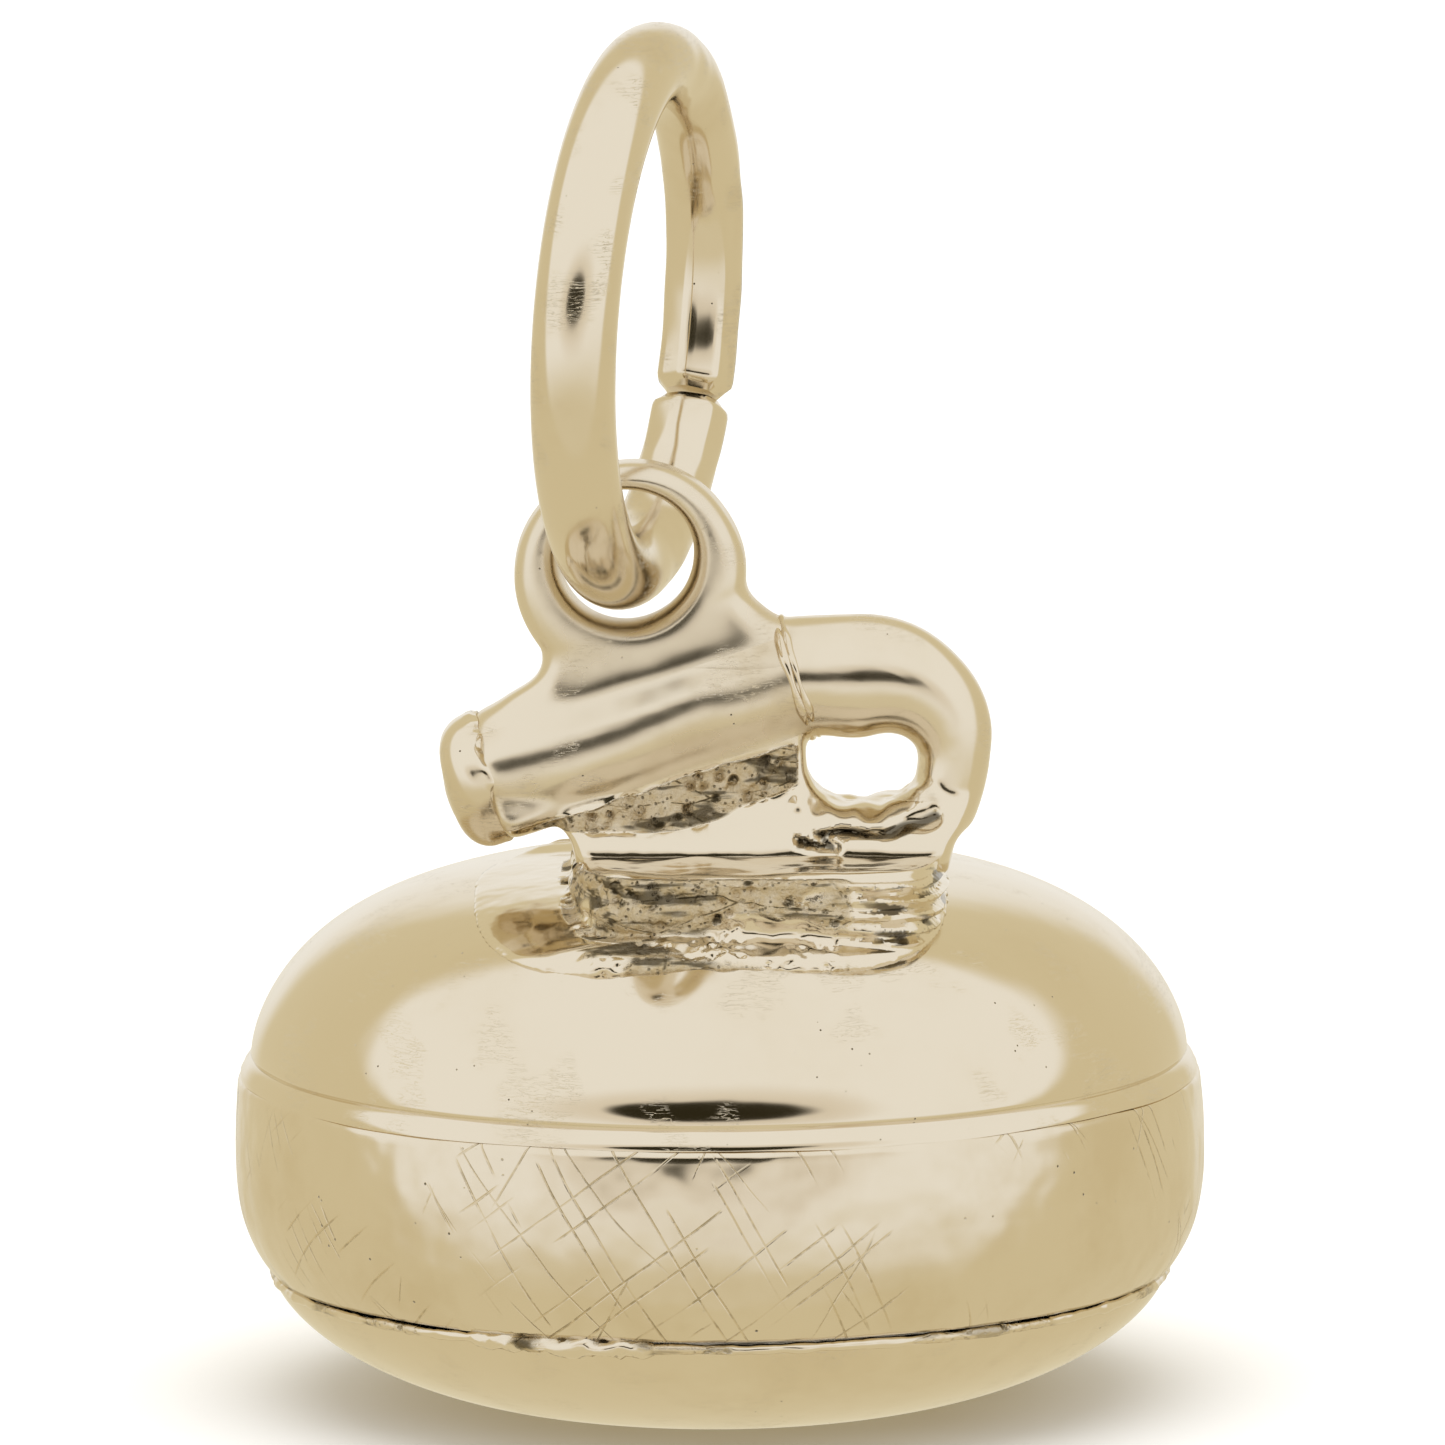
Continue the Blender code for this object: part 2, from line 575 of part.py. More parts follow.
def build_bail(material, grip_room):
    """Bail: a thick rounded lug on the grip with the eye that the jump ring passes through."""
    foot_left = along_grip(0.05 * MM)
    foot_right = along_grip(grip_length() - 0.05 * MM)
    left_top = foot_left.z + GRIP_LEFT_RADIUS
    outline = [(foot_left.x, foot_left.z), (foot_left.x - 0.16 * MM, left_top - 0.02 * MM),
               (foot_left.x + 0.2 * MM, left_top + 0.2 * MM),
               (foot_left.x + 0.46 * MM, left_top + 0.36 * MM)]
    outline += arc(BAIL_CENTRE_X, BAIL_CENTRE_Z, BAIL_RADIUS, 223, -10, 30)
    outline += [(foot_right.x - 0.38 * MM, foot_right.z + GRIP_RIGHT_RADIUS + 0.28 * MM),
                (foot_right.x - 0.18 * MM, foot_right.z + GRIP_RIGHT_RADIUS + 0.08 * MM),
                (foot_right.x, foot_right.z)]
    bail = piece("bail", extruded(outline, BAIL_THICKNESS), material)
    eye = bmesh.new()
    bmesh.ops.create_cone(eye, cap_ends=True, segments=36, radius1=EYE_RADIUS, radius2=EYE_RADIUS,
                          depth=3 * BAIL_THICKNESS)
    eye_cutter = cutter("eye", eye, location=(EYE_X, HANDLE_Y, EYE_Z))
    eye_cutter.rotation_euler = (math.pi / 2, 0.0, 0.0)
    cut(bail, eye_cutter)
    bevel_edges(bail, BAIL_BEVEL, angle=50.0)
    cut(bail, grip_room)
    return bail


# Jump ring

def build_jump_ring(material):
    """Open jump ring of round wire; it swings about its lowest point, in the bail's eye."""
    swing = axis_empty("ring_swing_axis", (EYE_X, HANDLE_Y, RING_LOWEST_Z), (0.0, RING_LEAN, RING_YAW))
    gap_angle = RING_GAP / RING_RADIUS
    bm = bmesh.new()
    turns = [math.tau * i / RING_WIRE_SEGMENTS for i in range(RING_WIRE_SEGMENTS)]
    wire = [bm.verts.new((RING_WIRE_RADIUS * math.sin(a), RING_RADIUS + RING_WIRE_RADIUS * math.cos(a), 0.0))
            for a in turns]
    edges = [bm.edges.new((wire[i - 1], wire[i])) for i in range(RING_WIRE_SEGMENTS)]
    bmesh.ops.rotate(bm, verts=wire, cent=(0.0, 0.0, 0.0),
                     matrix=Matrix.Rotation(RING_GAP_ANGLE + gap_angle / 2, 3, "X"))
    spun = bmesh.ops.spin(bm, geom=wire + edges, cent=(0.0, 0.0, 0.0), axis=(1.0, 0.0, 0.0),
                          angle=-(math.tau - gap_angle), steps=RING_SEGMENTS)
    last = [item for item in spun["geom_last"] if isinstance(item, bmesh.types.BMEdge)]
    bmesh.ops.edgeloop_fill(bm, edges=edges)
    bmesh.ops.edgeloop_fill(bm, edges=last)
    return piece("jump_ring", bm, material, swing, location=(0.0, 0.0, RING_RADIUS))


def main():
    clear_scene()
    polished = gold("polished_gold", GOLD, 0.12)
    build_top_shell(gold("dome_gold", GOLD, 0.15))
    build_band(gold("band_gold", WARM_GOLD, 0.3))
    build_seam(gold("solder", PALE_GOLD, 0.45))
    build_base_shell(polished)
    build_foot(gold("foot_gold", WARM_GOLD, 0.35))
    axis = grip_axis()
    grip_room = grip_clearance(axis)
    build_web(gold("web_gold", WARM_GOLD, 0.35), grip_room)
    build_grip(gold("grip_gold", GOLD, 0.12), axis)
    build_end_cap(gold("cap_gold", GOLD, 0.18), axis)
    build_collar(gold("collar_gold", PALE_GOLD, 0.2), axis)
    build_gooseneck(gold("neck_gold", GOLD, 0.12), axis)
    build_bail(gold("bail_gold", GOLD, 0.12), grip_room)
    build_jump_ring(gold("ring_gold", PALE_GOLD, 0.1))


main()
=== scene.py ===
"""Curling stone charm: the finished looks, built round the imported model."""
import json
import math

import bmesh
import bpy
from bpy.props import FloatProperty, FloatVectorProperty, IntProperty, PointerProperty
from mathutils import Matrix, Vector, noise


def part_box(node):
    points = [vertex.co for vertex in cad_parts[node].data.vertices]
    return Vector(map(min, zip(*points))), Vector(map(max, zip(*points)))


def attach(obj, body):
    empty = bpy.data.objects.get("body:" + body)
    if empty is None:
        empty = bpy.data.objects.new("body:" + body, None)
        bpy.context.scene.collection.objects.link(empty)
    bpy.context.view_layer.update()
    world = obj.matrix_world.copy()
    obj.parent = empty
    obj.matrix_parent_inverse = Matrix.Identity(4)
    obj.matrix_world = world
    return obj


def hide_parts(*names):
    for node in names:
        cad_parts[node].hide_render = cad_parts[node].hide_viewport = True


bl_info = {
    "name": "Curling Stone Charm",
    "version": (1, 0, 0),
    "blender": (4, 5, 0),
    "location": "3D View > Sidebar > Charm",
    "description": "Builds the gold charm, its castings, its engraving and its jump ring",
    "category": "Add Mesh",
}

MM = 0.001

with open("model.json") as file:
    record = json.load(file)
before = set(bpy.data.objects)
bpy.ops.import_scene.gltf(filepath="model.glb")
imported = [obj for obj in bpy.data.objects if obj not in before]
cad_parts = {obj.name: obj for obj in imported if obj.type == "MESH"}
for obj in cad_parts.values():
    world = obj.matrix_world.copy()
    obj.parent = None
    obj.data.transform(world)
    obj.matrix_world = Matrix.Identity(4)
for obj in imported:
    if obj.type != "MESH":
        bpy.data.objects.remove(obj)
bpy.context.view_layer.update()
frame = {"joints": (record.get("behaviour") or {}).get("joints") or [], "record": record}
BOXES = {part["node"]: [Vector(corner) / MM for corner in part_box(part["node"])]
         for part in frame["record"]["subparts"]}


def node_box(name):
    """A node's lowest and highest corners, in millimetres."""
    return BOXES[name]


RING_JOINT = frame["joints"][0]
EYE_POINT = Vector(RING_JOINT["pos_m"]) / MM
RING_AXIS = Vector(RING_JOINT["axis"]).normalized()
HANDLE_Y = EYE_POINT.y


# Settings

def size(name, description, default):
    """A size in millimetres."""
    return FloatProperty(name=name, description=description, default=default, precision=4)


def tint(name, description, default):
    return FloatVectorProperty(name=name, description=description, default=default,
                               subtype="COLOR", size=3, min=0.0, max=1.0)


class CharmStoneSettings(bpy.types.PropertyGroup):
    turns: IntProperty(name="Turns", description="Faces round the stone", default=288, min=48)
    dome_inset: size("Dome inset", "How far the dome's edge stands inside the band, in mm", 0.2)
    ledge_height: size("Ledge height", "Height of the ledge between dome and band, in mm", 0.25)
    rise_power: size("Rise power", "How the dome's height fades towards its edge", 1.7)
    side_power: size("Side power", "How square the dome's shoulder is", 3.5)
    base_rise_power: size("Base rise power", "How the base's depth fades to its edge", 1.37)
    base_side_power: size("Base side power", "How square the base's side is", 3.06)
    base_flat: size("Standing face", "Radius of the standing face, in mm", 2.3)
    cup_radius: size("Cup radius", "Radius of the dish under the base, in mm", 1.7)
    cup_depth: size("Cup depth", "Depth of the dish under the base, in mm", 0.2)
    wave: size("Hand finish", "Height of the waves that hand polishing leaves, in mm", 0.012)


class CharmHandleSettings(bpy.types.PropertyGroup):
    grip_left: FloatVectorProperty(name="Grip's left end", default=(-2.56, HANDLE_Y, 7.55), size=3,
                                   description="Middle of the seam with the end cap, in mm")
    grip_right: FloatVectorProperty(name="Grip's right end", default=(0.87, HANDLE_Y, 8.63), size=3,
                                    description="Middle of the collar's near face, in mm")
    left_radius: size("Left radius", "The grip's radius at the end cap, in mm", 0.79)
    right_radius: size("Right radius", "The grip's radius at the collar, in mm", 0.71)
    bail_radius: size("Bail radius", "Outer radius of the bail, in mm", 1.33)
    bail_thickness: size("Bail thickness", "Thickness of the bail, in mm", 1.0)
    eye_radius: size("Eye radius", "Radius of the bail's eye, in mm", 0.77)
    web_thickness: size("Web thickness", "Thickness of the web, in mm", 1.1)
    voxel: size("Grain", "Spacing of the casting's mesh, in mm", 0.032)


class CharmRingSettings(bpy.types.PropertyGroup):
    radius: size("Ring radius", "Radius of the wire's centre line, in mm", 2.92)
    wire: size("Wire radius", "Radius of the wire, in mm", 0.475)
    lean: size("Lean", "Sideways lean of the ring at rest, in degrees", 3.2)
    gap_angle: size("Gap", "Where the ring is open, in degrees above the far side", -26.0)
    gap: size("Opening", "Width of the opening, in mm", 0.07)


class CharmFinishSettings(bpy.types.PropertyGroup):
    gold: tint("Gold", "Polished gold", (0.78, 0.70, 0.56))
    warm: tint("Warm gold", "Gold in the hollows of a casting", (0.62, 0.49, 0.28))
    # This tint also paints shade into the web's crease and the foot's pleats.
    dark: tint("Dark pits", "Dirt and shade in pits and cuts", (0.05, 0.037, 0.016))
    roughness: size("Roughness", "Roughness of the polished gold", 0.09)


class CharmStudioSettings(bpy.types.PropertyGroup):
    distance: size("Camera distance", "From the look-at point to the camera, in mm", 200.0)
    elevation: size("Camera elevation", "In degrees above the horizon", 8.55)
    roll: size("Camera roll", "In degrees", -0.41)
    aim_x: size("Aim, sideways", "Look-at point's x, in mm", 0.07)
    aim_z: size("Aim, height", "Look-at point's z, in mm", 7.9)
    field: size("Field", "Width that the picture covers at the look-at point, in mm", 16.80)
    white: tint("White tent", "Light from the front and above", (1.0, 1.0, 1.0))
    tan: tint("Tan walls", "Light from the sides and behind", (0.76, 0.68, 0.48))
    amber: tint("Amber rim", "Light round the dark card", (0.62, 0.47, 0.24))
    shade: tint("Dark card", "The dark opening round the lens", (0.030, 0.025, 0.012))


# Mesh tools. Everything is modelled in millimetres and shrunk once, at the end.

def clean(bm):
    """Merge doubles and face every normal outwards."""
    bmesh.ops.remove_doubles(bm, verts=bm.verts, dist=1e-5)
    bmesh.ops.recalc_face_normals(bm, faces=bm.faces)
    if bm.calc_volume(signed=True) < 0.0:
        bmesh.ops.reverse_faces(bm, faces=bm.faces)


def mesh_object(name, bm):
    mesh = bpy.data.meshes.new(name)
    bm.to_mesh(mesh)
    bm.free()
    thing = bpy.data.objects.new(name, mesh)
    bpy.context.scene.collection.objects.link(thing)
    return thing


def finish_piece(name, bm, node, material, body="charm", sharp=50.0):
    """Shrink a finished bmesh to metres and hang it on the frame in its CAD node's place."""
    bmesh.ops.scale(bm, vec=(MM, MM, MM), verts=bm.verts)
    thing = mesh_object(name, bm)
    thing.data.shade_smooth()
    thing.data.set_sharp_from_angle(angle=math.radians(sharp))
    thing.data.materials.append(material)
    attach(thing, body)
    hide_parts(node)
    return thing


def edges_of(verts):
    """The edges on those vertices, once each and always in the same order."""
    return list(dict.fromkeys(edge for v in verts for edge in v.link_edges))


def turned(profile, closed, turns):
    """Spin an (r, z) outline about Z. An open outline starts and ends on the axis."""
    bm = bmesh.new()
    points = [bm.verts.new((0.0, -r, z)) for r, z in profile]
    edges = [bm.edges.new(pair) for pair in zip(points, points[1:])]
    if closed:
        edges.append(bm.edges.new((points[-1], points[0])))
    bmesh.ops.spin(bm, geom=points + edges, cent=(0.0, 0.0, 0.0), axis=(0.0, 0.0, 1.0),
                   angle=math.tau, steps=turns, use_merge=True)
    clean(bm)
    return bm


def ripple(bm, height, length, seed, mask=None):
    """Raise and sink the surface along its normals by smooth noise of that wavelength."""
    bm.normal_update()
    shift = Vector((seed * 7.3, seed * 3.1, seed * 5.7))
    moves = []
    for v in bm.verts:
        amount = height * noise.noise(v.co / length + shift)
        if mask:
            amount *= mask(v.co)
        moves.append(v.normal * amount)
    for v, move in zip(bm.verts, moves):
        v.co += move


def pit(bm, depth, length, seed, threshold, mask=None):
    """Sink round pits, as a porous casting has, where cell noise is low."""
    bm.normal_update()
    shift = Vector((seed * 2.9, seed * 8.3, seed * 4.1))
    moves = []
    for v in bm.verts:
        place = v.co / length + shift
        near = noise.voronoi(place)[0][0]
        share = smooth_step((threshold - near) / threshold)
        share *= smooth_step(0.5 + 1.8 * noise.noise(place * 0.31))
        if mask:
            share *= mask(v.co)
        moves.append(v.normal * (-depth * share))
    for v, move in zip(bm.verts, moves):
        v.co += move


def marked(bm, rough, dark):
    """Store how rough and how dark the shader draws each vertex."""
    layers = [bm.verts.layers.float.new(name) for name in ("rough", "dark")]
    for v in bm.verts:
        v[layers[0]] = rough(v.co)
        v[layers[1]] = dark(v.co)


def smooth_step(t):
    t = min(max(t, 0.0), 1.0)
    return t * t * (3.0 - 2.0 * t)


def arc(centre, radius, start, end, steps):
    """Points of a circular arc, angles in degrees from +X."""
    angles = [math.radians(start + (end - start) * i / steps) for i in range(steps + 1)]
    return [(centre[0] + radius * math.cos(a), centre[1] + radius * math.sin(a)) for a in angles]


def extruded(outline, thickness, rounding, segments=4):
    """Extrude an (x, z) outline along Y round the handle's plane and round its two rims."""
    bm = bmesh.new()
    near = [bm.verts.new((x, HANDLE_Y - thickness / 2, z)) for x, z in outline]
    face = bm.faces.new(near)
    grown = bmesh.ops.extrude_face_region(bm, geom=[face])["geom"]
    far = [item for item in grown if isinstance(item, bmesh.types.BMVert)]
    bmesh.ops.translate(bm, verts=far, vec=(0.0, thickness, 0.0))
    clean(bm)
    rims = [e for e in bm.edges if abs(e.verts[0].co.y - e.verts[1].co.y) < 1e-6]
    bmesh.ops.bevel(bm, geom=rims, offset=rounding, segments=segments, profile=0.5, affect="EDGES",
                    offset_type="OFFSET", material=-1)
    clean(bm)
    return bm


def swept(stations, points=40):
    """Join oval sections into a bar. A station is centre, up, side, half height and half depth."""
    bm = bmesh.new()
    loops = []
    for centre, up, side, half_height, half_depth in stations:
        forward = up.cross(side)
        matrix = Matrix.Translation(centre) @ Matrix((up * half_height, side * half_depth, forward)
                                                     ).transposed().to_4x4()
        ring = bmesh.ops.create_circle(bm, cap_ends=False, segments=points, radius=1.0, matrix=matrix)
        verts = ring["verts"]
        loops.append(edges_of(verts))
    for first, second in zip(loops, loops[1:]):
        bmesh.ops.bridge_loops(bm, edges=first + second)
    bmesh.ops.edgeloop_fill(bm, edges=loops[0])
    bmesh.ops.edgeloop_fill(bm, edges=loops[-1])
    clean(bm)
    return bm


def joined(parts):
    """Put several bmeshes into one, as islands."""
    whole = bmesh.new()
    for part in parts:
        mesh = bpy.data.meshes.new("island")
        part.to_mesh(mesh)
        part.free()
        whole.from_mesh(mesh)
        bpy.data.meshes.remove(mesh)
    return whole


def with_modifier(bm, kind, **settings):
    """Run one modifier over a bmesh and return the result as a new bmesh."""
    thing = mesh_object("work", bm)
    modifier = thing.modifiers.new("work", kind)
    for key, value in settings.items():
        setattr(modifier, key, value)
    graph = bpy.context.evaluated_depsgraph_get()
    result = bmesh.new()
    result.from_mesh(thing.evaluated_get(graph).to_mesh())
    mesh = thing.data
    bpy.data.objects.remove(thing)
    bpy.data.meshes.remove(mesh)
    return result


def relax(bm, verts):
    bmesh.ops.smooth_vert(bm, verts=verts, factor=0.5, use_axis_x=True, use_axis_y=True, use_axis_z=True)


def remeshed(bm, voxel, rounds):
    """Fuse islands into one skin and relax it, which leaves a fillet at every joint."""
    skin = with_modifier(bm, "REMESH", mode="VOXEL", voxel_size=voxel, adaptivity=0.0)
    for _ in range(rounds):
        relax(skin, skin.verts)
    return skin


# Shader tools

class Value:
    """A number socket that takes part in Python arithmetic."""

    def __init__(self, graph, socket):
        self.graph = graph
        self.socket = socket

    def math(self, operation, *others):
        node = self.graph.tree.nodes.new("ShaderNodeMath")
        node.operation = operation
        for place, item in enumerate((self, *others)):
            self.graph.feed(node.inputs[place], item)
        return Value(self.graph, node.outputs[0])

    def __add__(self, other):
        return self.math("ADD", other)

    __radd__ = __add__

    def __mul__(self, other):
        return self.math("MULTIPLY", other)

    __rmul__ = __mul__

    def __sub__(self, other):
        return self.math("SUBTRACT", other)

    def __rsub__(self, other):
        return self.math("MULTIPLY", -1.0).math("ADD", other)

    def __truediv__(self, other):
        return self.math("DIVIDE", other)

    def __gt__(self, other):
        return self.math("GREATER_THAN", other)

    def __lt__(self, other):
        return self.math("LESS_THAN", other)

    def floor(self):
        return self.math("FLOOR")

    def fraction(self):
        return self.math("FRACT")

    def size(self):
        return self.math("ABSOLUTE")

    def smooth(self, low, high, start=0.0, end=1.0):
        """A soft step from start, at low, to end, at high."""
        node = self.graph.node("ShaderNodeMapRange", {"interpolation_type": "SMOOTHSTEP"},
                               {"Value": self, "From Min": low, "From Max": high,
                                "To Min": start, "To Max": end})
        return Value(self.graph, node.outputs[0])


class Graph:
    """A node tree with one way to add a node."""

    def __init__(self, tree):
        self.tree = tree

    def feed(self, socket, item):
        if isinstance(item, Value):
            self.tree.links.new(item.socket, socket)
        elif isinstance(item, bpy.types.NodeSocket):
            self.tree.links.new(item, socket)
        elif item is not None:
            if isinstance(item, (tuple, list)) and socket.type == "RGBA" and len(item) == 3:
                item = (*item, 1.0)
            socket.default_value = item

    def node(self, kind, settings=None, inputs=None):
        node = self.tree.nodes.new(kind)
        for key, value in (settings or {}).items():
            setattr(node, key, value)
        for key, item in (inputs or {}).items():
            self.feed(node.inputs[key], item)
        return node

    def colour(self, amount, first, second):
        node = self.node("ShaderNodeMix", {"data_type": "RGBA"}, {0: amount, 6: first, 7: second})
        return node.outputs[2]

    def noise(self, vector, scale, detail=3.0, roughness=0.5, distortion=0.0):
        node = self.node("ShaderNodeTexNoise", {}, {"Vector": vector, "Scale": scale, "Detail": detail,
                                                    "Roughness": roughness, "Distortion": distortion})
        return Value(self, node.outputs[0])

    def cells(self, vector, scale, feature="F1"):
        node = self.node("ShaderNodeTexVoronoi", {"feature": feature}, {"Vector": vector, "Scale": scale})
        return Value(self, node.outputs["Distance"])

    def stored(self, name):
        """A number stored on the piece's vertices."""
        return Value(self, self.node("ShaderNodeAttribute", {"attribute_name": name}).outputs["Fac"])

    def chance(self, vector):
        node = self.node("ShaderNodeTexWhiteNoise", {}, {"Vector": vector})
        return Value(self, node.outputs["Value"])

    def combined(self, x, y, z=0.0):
        return self.node("ShaderNodeCombineXYZ", {}, {"X": x, "Y": y, "Z": z}).outputs[0]

    def separated(self, vector):
        node = self.node("ShaderNodeSeparateXYZ", {}, {"Vector": vector})
        return [Value(self, output) for output in node.outputs]

    def stretched(self, vector, factors):
        node = self.node("ShaderNodeVectorMath", {"operation": "MULTIPLY"}, {0: vector, 1: factors})
        return node.outputs[0]

    def millimetres(self):
        """The piece's own coordinates, in millimetres."""
        place = self.node("ShaderNodeTexCoord").outputs["Object"]
        return self.node("ShaderNodeVectorMath", {"operation": "SCALE"},
                         {0: place, "Scale": 1 / MM}).outputs[0]

    def bumps(self, *layers):
        """Stack bumps. A layer is its height, in units of its depth, and its depth in mm."""
        normal = None
        for height, depth in layers:
            inputs = {"Height": height, "Distance": depth * MM, "Strength": 1.0}
            if normal is not None:
                inputs["Normal"] = normal
            normal = self.node("ShaderNodeBump", {}, inputs).outputs[0]
        return normal


def metal(name):
    """A new metal material: its graph and its Principled shader."""
    material = bpy.data.materials.new(name)
    material.use_nodes = True
    graph = Graph(material.node_tree)
    shader = material.node_tree.nodes["Principled BSDF"]
    shader.inputs["Metallic"].default_value = 1.0
    return material, graph, shader


def polished_gold(name, wave=0.004, wave_length=1.4, scratch=0.25, tarnish=0.15, roughness=None):
    """Polished gold with soft waves, hairline scratches, clouding and a few small pits."""
    finish = bpy.context.scene.charm_finish
    material, graph, shader = metal(name)
    place = graph.millimetres()
    soft = graph.noise(place, 1 / wave_length, 2.0)
    cloud = graph.noise(place, 0.55, 4.0, 0.6)
    hair_place = graph.stretched(place, (1.0, 1.0, 9.0))
    hair = graph.noise(hair_place, 3.2, 2.0, 0.6, 0.8)
    hair_line = (hair - 0.5).size().smooth(0.0, 0.012, 1.0, 0.0)
    rare = graph.noise(place, 1.1, 2.0).smooth(0.52, 0.62)
    speck = graph.cells(place, 5.5).smooth(0.03, 0.075, 1.0, 0.0) * graph.noise(place, 0.9).smooth(0.55, 0.62)
    tone = cloud.smooth(0.42, 0.72) * tarnish
    colour = graph.colour(tone, tuple(finish.gold), tuple(finish.warm))
    colour = graph.colour(hair_line * rare * (scratch * 0.35), colour, tuple(finish.warm))
    graph.feed(shader.inputs["Base Color"], graph.colour(speck, colour, tuple(finish.dark)))
    base = finish.roughness if roughness is None else roughness
    graph.feed(shader.inputs["Roughness"], cloud.smooth(0.35, 0.75, base * 0.8, base * 1.5)
               + hair_line * rare * 0.08 + speck * 0.3)
    normal = graph.bumps((soft, wave), (1.0 - hair_line * rare, 0.0012 * scratch * 4), (1.0 - speck, 0.01))
    graph.feed(shader.inputs["Normal"], normal)
    return material


def hatch(graph, across, along, spacing, width, present, seed):
    """One family of hand-cut lines: each is where chance puts it, and starts and stops."""
    bend = graph.noise(graph.combined(along, across, seed), 0.35, 2.0)
    rows = across / spacing + bend * 0.8 + seed * 0.37
    row = rows.floor()
    luck = graph.chance(graph.combined(row, seed, 0.0))
    offset = (graph.chance(graph.combined(row, seed + 5.0, 0.0)) - 0.5) * 0.5
    reach = graph.noise(graph.combined(along, row * 9.7, seed), 0.75, 1.0).smooth(0.44, 0.52)
    distance = (rows.fraction() - 0.5 - offset).size() * spacing
    broken = graph.noise(graph.combined(along, row * 3.1, seed), 5.0, 2.0).smooth(0.36, 0.5, 0.45, 1.0)
    cut = distance.smooth(width * 0.35, width, 1.0, 0.0)
    return cut * (luck < present) * reach * broken


def engraved_gold(name):
    """Gold cut by hand with a cross-hatch of fine lines, dense in front and sparse elsewhere."""
    finish = bpy.context.scene.charm_finish
    material, graph, shader = metal(name)
    place = graph.millimetres()
    flat = graph.node("ShaderNodeUVMap", {"uv_map": "unrolled"}).outputs[0]
    u, v, _ = graph.separated(flat)
    cuts = None
    families = ((-60.0, 0.28, 0.018, 0.7, 1.0), (36.0, 0.30, 0.017, 0.7, 2.0),
                (-50.0, 0.50, 0.012, 0.4, 3.0), (60.0, 0.6, 0.012, 0.4, 4.0))
    for angle, spacing, width, present, seed in families:
        c, s = math.cos(math.radians(angle)), math.sin(math.radians(angle))
        along = u * c + v * s
        across = v * c - u * s
        lines = hatch(graph, across, along, spacing, width, present, seed)
        cuts = lines if cuts is None else cuts.math("MAXIMUM", lines)
    centre = (u + 1.1).size().smooth(0.9, 2.0, 1.0, 0.0)
    patchy = graph.noise(graph.combined(u, v, 3.0), 0.55, 2.0).smooth(0.47, 0.58, 0.0, 0.8)
    cuts = cuts * centre.math("MAXIMUM", patchy)
    cloud = graph.noise(place, 0.8, 4.0, 0.6)
    dirt = graph.noise(place, 7.0, 3.0, 0.6).smooth(0.5, 0.62)
    speck = graph.cells(place, 4.5).smooth(0.04, 0.085, 1.0, 0.0) * graph.noise(place, 0.7).smooth(0.5, 0.6)
    colour = graph.colour(cloud.smooth(0.4, 0.75) * 0.25, tuple(finish.gold), tuple(finish.warm))
    colour = graph.colour(cuts * 0.6, colour, tuple(finish.warm))
    colour = graph.colour((cuts * dirt * 0.3).math("MAXIMUM", speck * 0.8), colour, tuple(finish.dark))
    graph.feed(shader.inputs["Base Color"], colour)
    graph.feed(shader.inputs["Roughness"], cloud.smooth(0.35, 0.75, 0.13, 0.22) + cuts * 0.15)
    soft = graph.noise(place, 0.9, 2.0)
    normal = graph.bumps((soft, 0.06), (1.0 - cuts, 0.008), (1.0 - speck, 0.02))
    graph.feed(shader.inputs["Normal"], normal)
    return material


def porous_gold(name, amount=0.6, low=None, high=None):
    """Gold as it comes out of the mould: pits and crusts between rubbed, shiny high spots, and painted shade
    where the stored dark attribute is high.
    """
    finish = bpy.context.scene.charm_finish
    material, graph, shader = metal(name)
    place = graph.millimetres()
    flat = graph.stretched(place, (0.45, 1.0, 1.0))
    region = graph.noise(flat, 1.3, 2.0, 0.5)
    streak = graph.noise(graph.stretched(place, (0.4, 1.0, 2.2)), 2.2, 3.0, 0.6, 0.4).smooth(0.50, 0.58)
    crust = region.smooth(0.60 - 0.25 * amount, 0.68 - 0.25 * amount)
    crust = crust * graph.stored("rough").smooth(0.15, 0.5)
    dark = graph.stored("dark")
    grain = graph.noise(place, 9.0, 5.0, 0.65)
    holes = graph.cells(graph.stretched(place, (0.8, 1.0, 1.0)), 5.0)
    hole = holes.smooth(0.12, 0.30, 1.0, 0.0) * crust * grain.smooth(0.40, 0.52)
    fine = graph.cells(place, 12.0).smooth(0.10, 0.26, 1.0, 0.0) * crust
    crack = graph.cells(graph.stretched(place, (0.35, 1.0, 1.4)), 1.7, "DISTANCE_TO_EDGE")
    crack = crack.smooth(0.0, 0.018, 1.0, 0.0) * grain.smooth(0.42, 0.6) * crust
    colour = graph.colour(crust * grain.smooth(0.3, 0.7, 0.35, 0.9), tuple(finish.gold), tuple(finish.warm))
    colour = graph.colour((streak * crust * 0.8).math("MAXIMUM", fine * 0.6), colour, tuple(finish.dark))
    colour = graph.colour((hole * 0.92).math("MAXIMUM", crack * 0.7), colour, tuple(finish.dark))
    # Painted shade: the stored dark attribute darkens the web's crease and some of the foot's pleats.
    colour = graph.colour(dark.smooth(0.5, 0.95) * 0.85, colour, tuple(finish.dark))
    graph.feed(shader.inputs["Base Color"], colour)
    graph.feed(shader.inputs["Roughness"], crust.smooth(0.0, 1.0, 0.12, 0.42) + hole * 0.2)
    normal = graph.bumps((graph.noise(place, 1.6, 2.0), 0.03), (grain * crust, 0.05),
                         (1.0 - hole, 0.07), (1.0 - fine, 0.02), (1.0 - crack, 0.02))
    graph.feed(shader.inputs["Normal"], normal)
    return material


# Stone

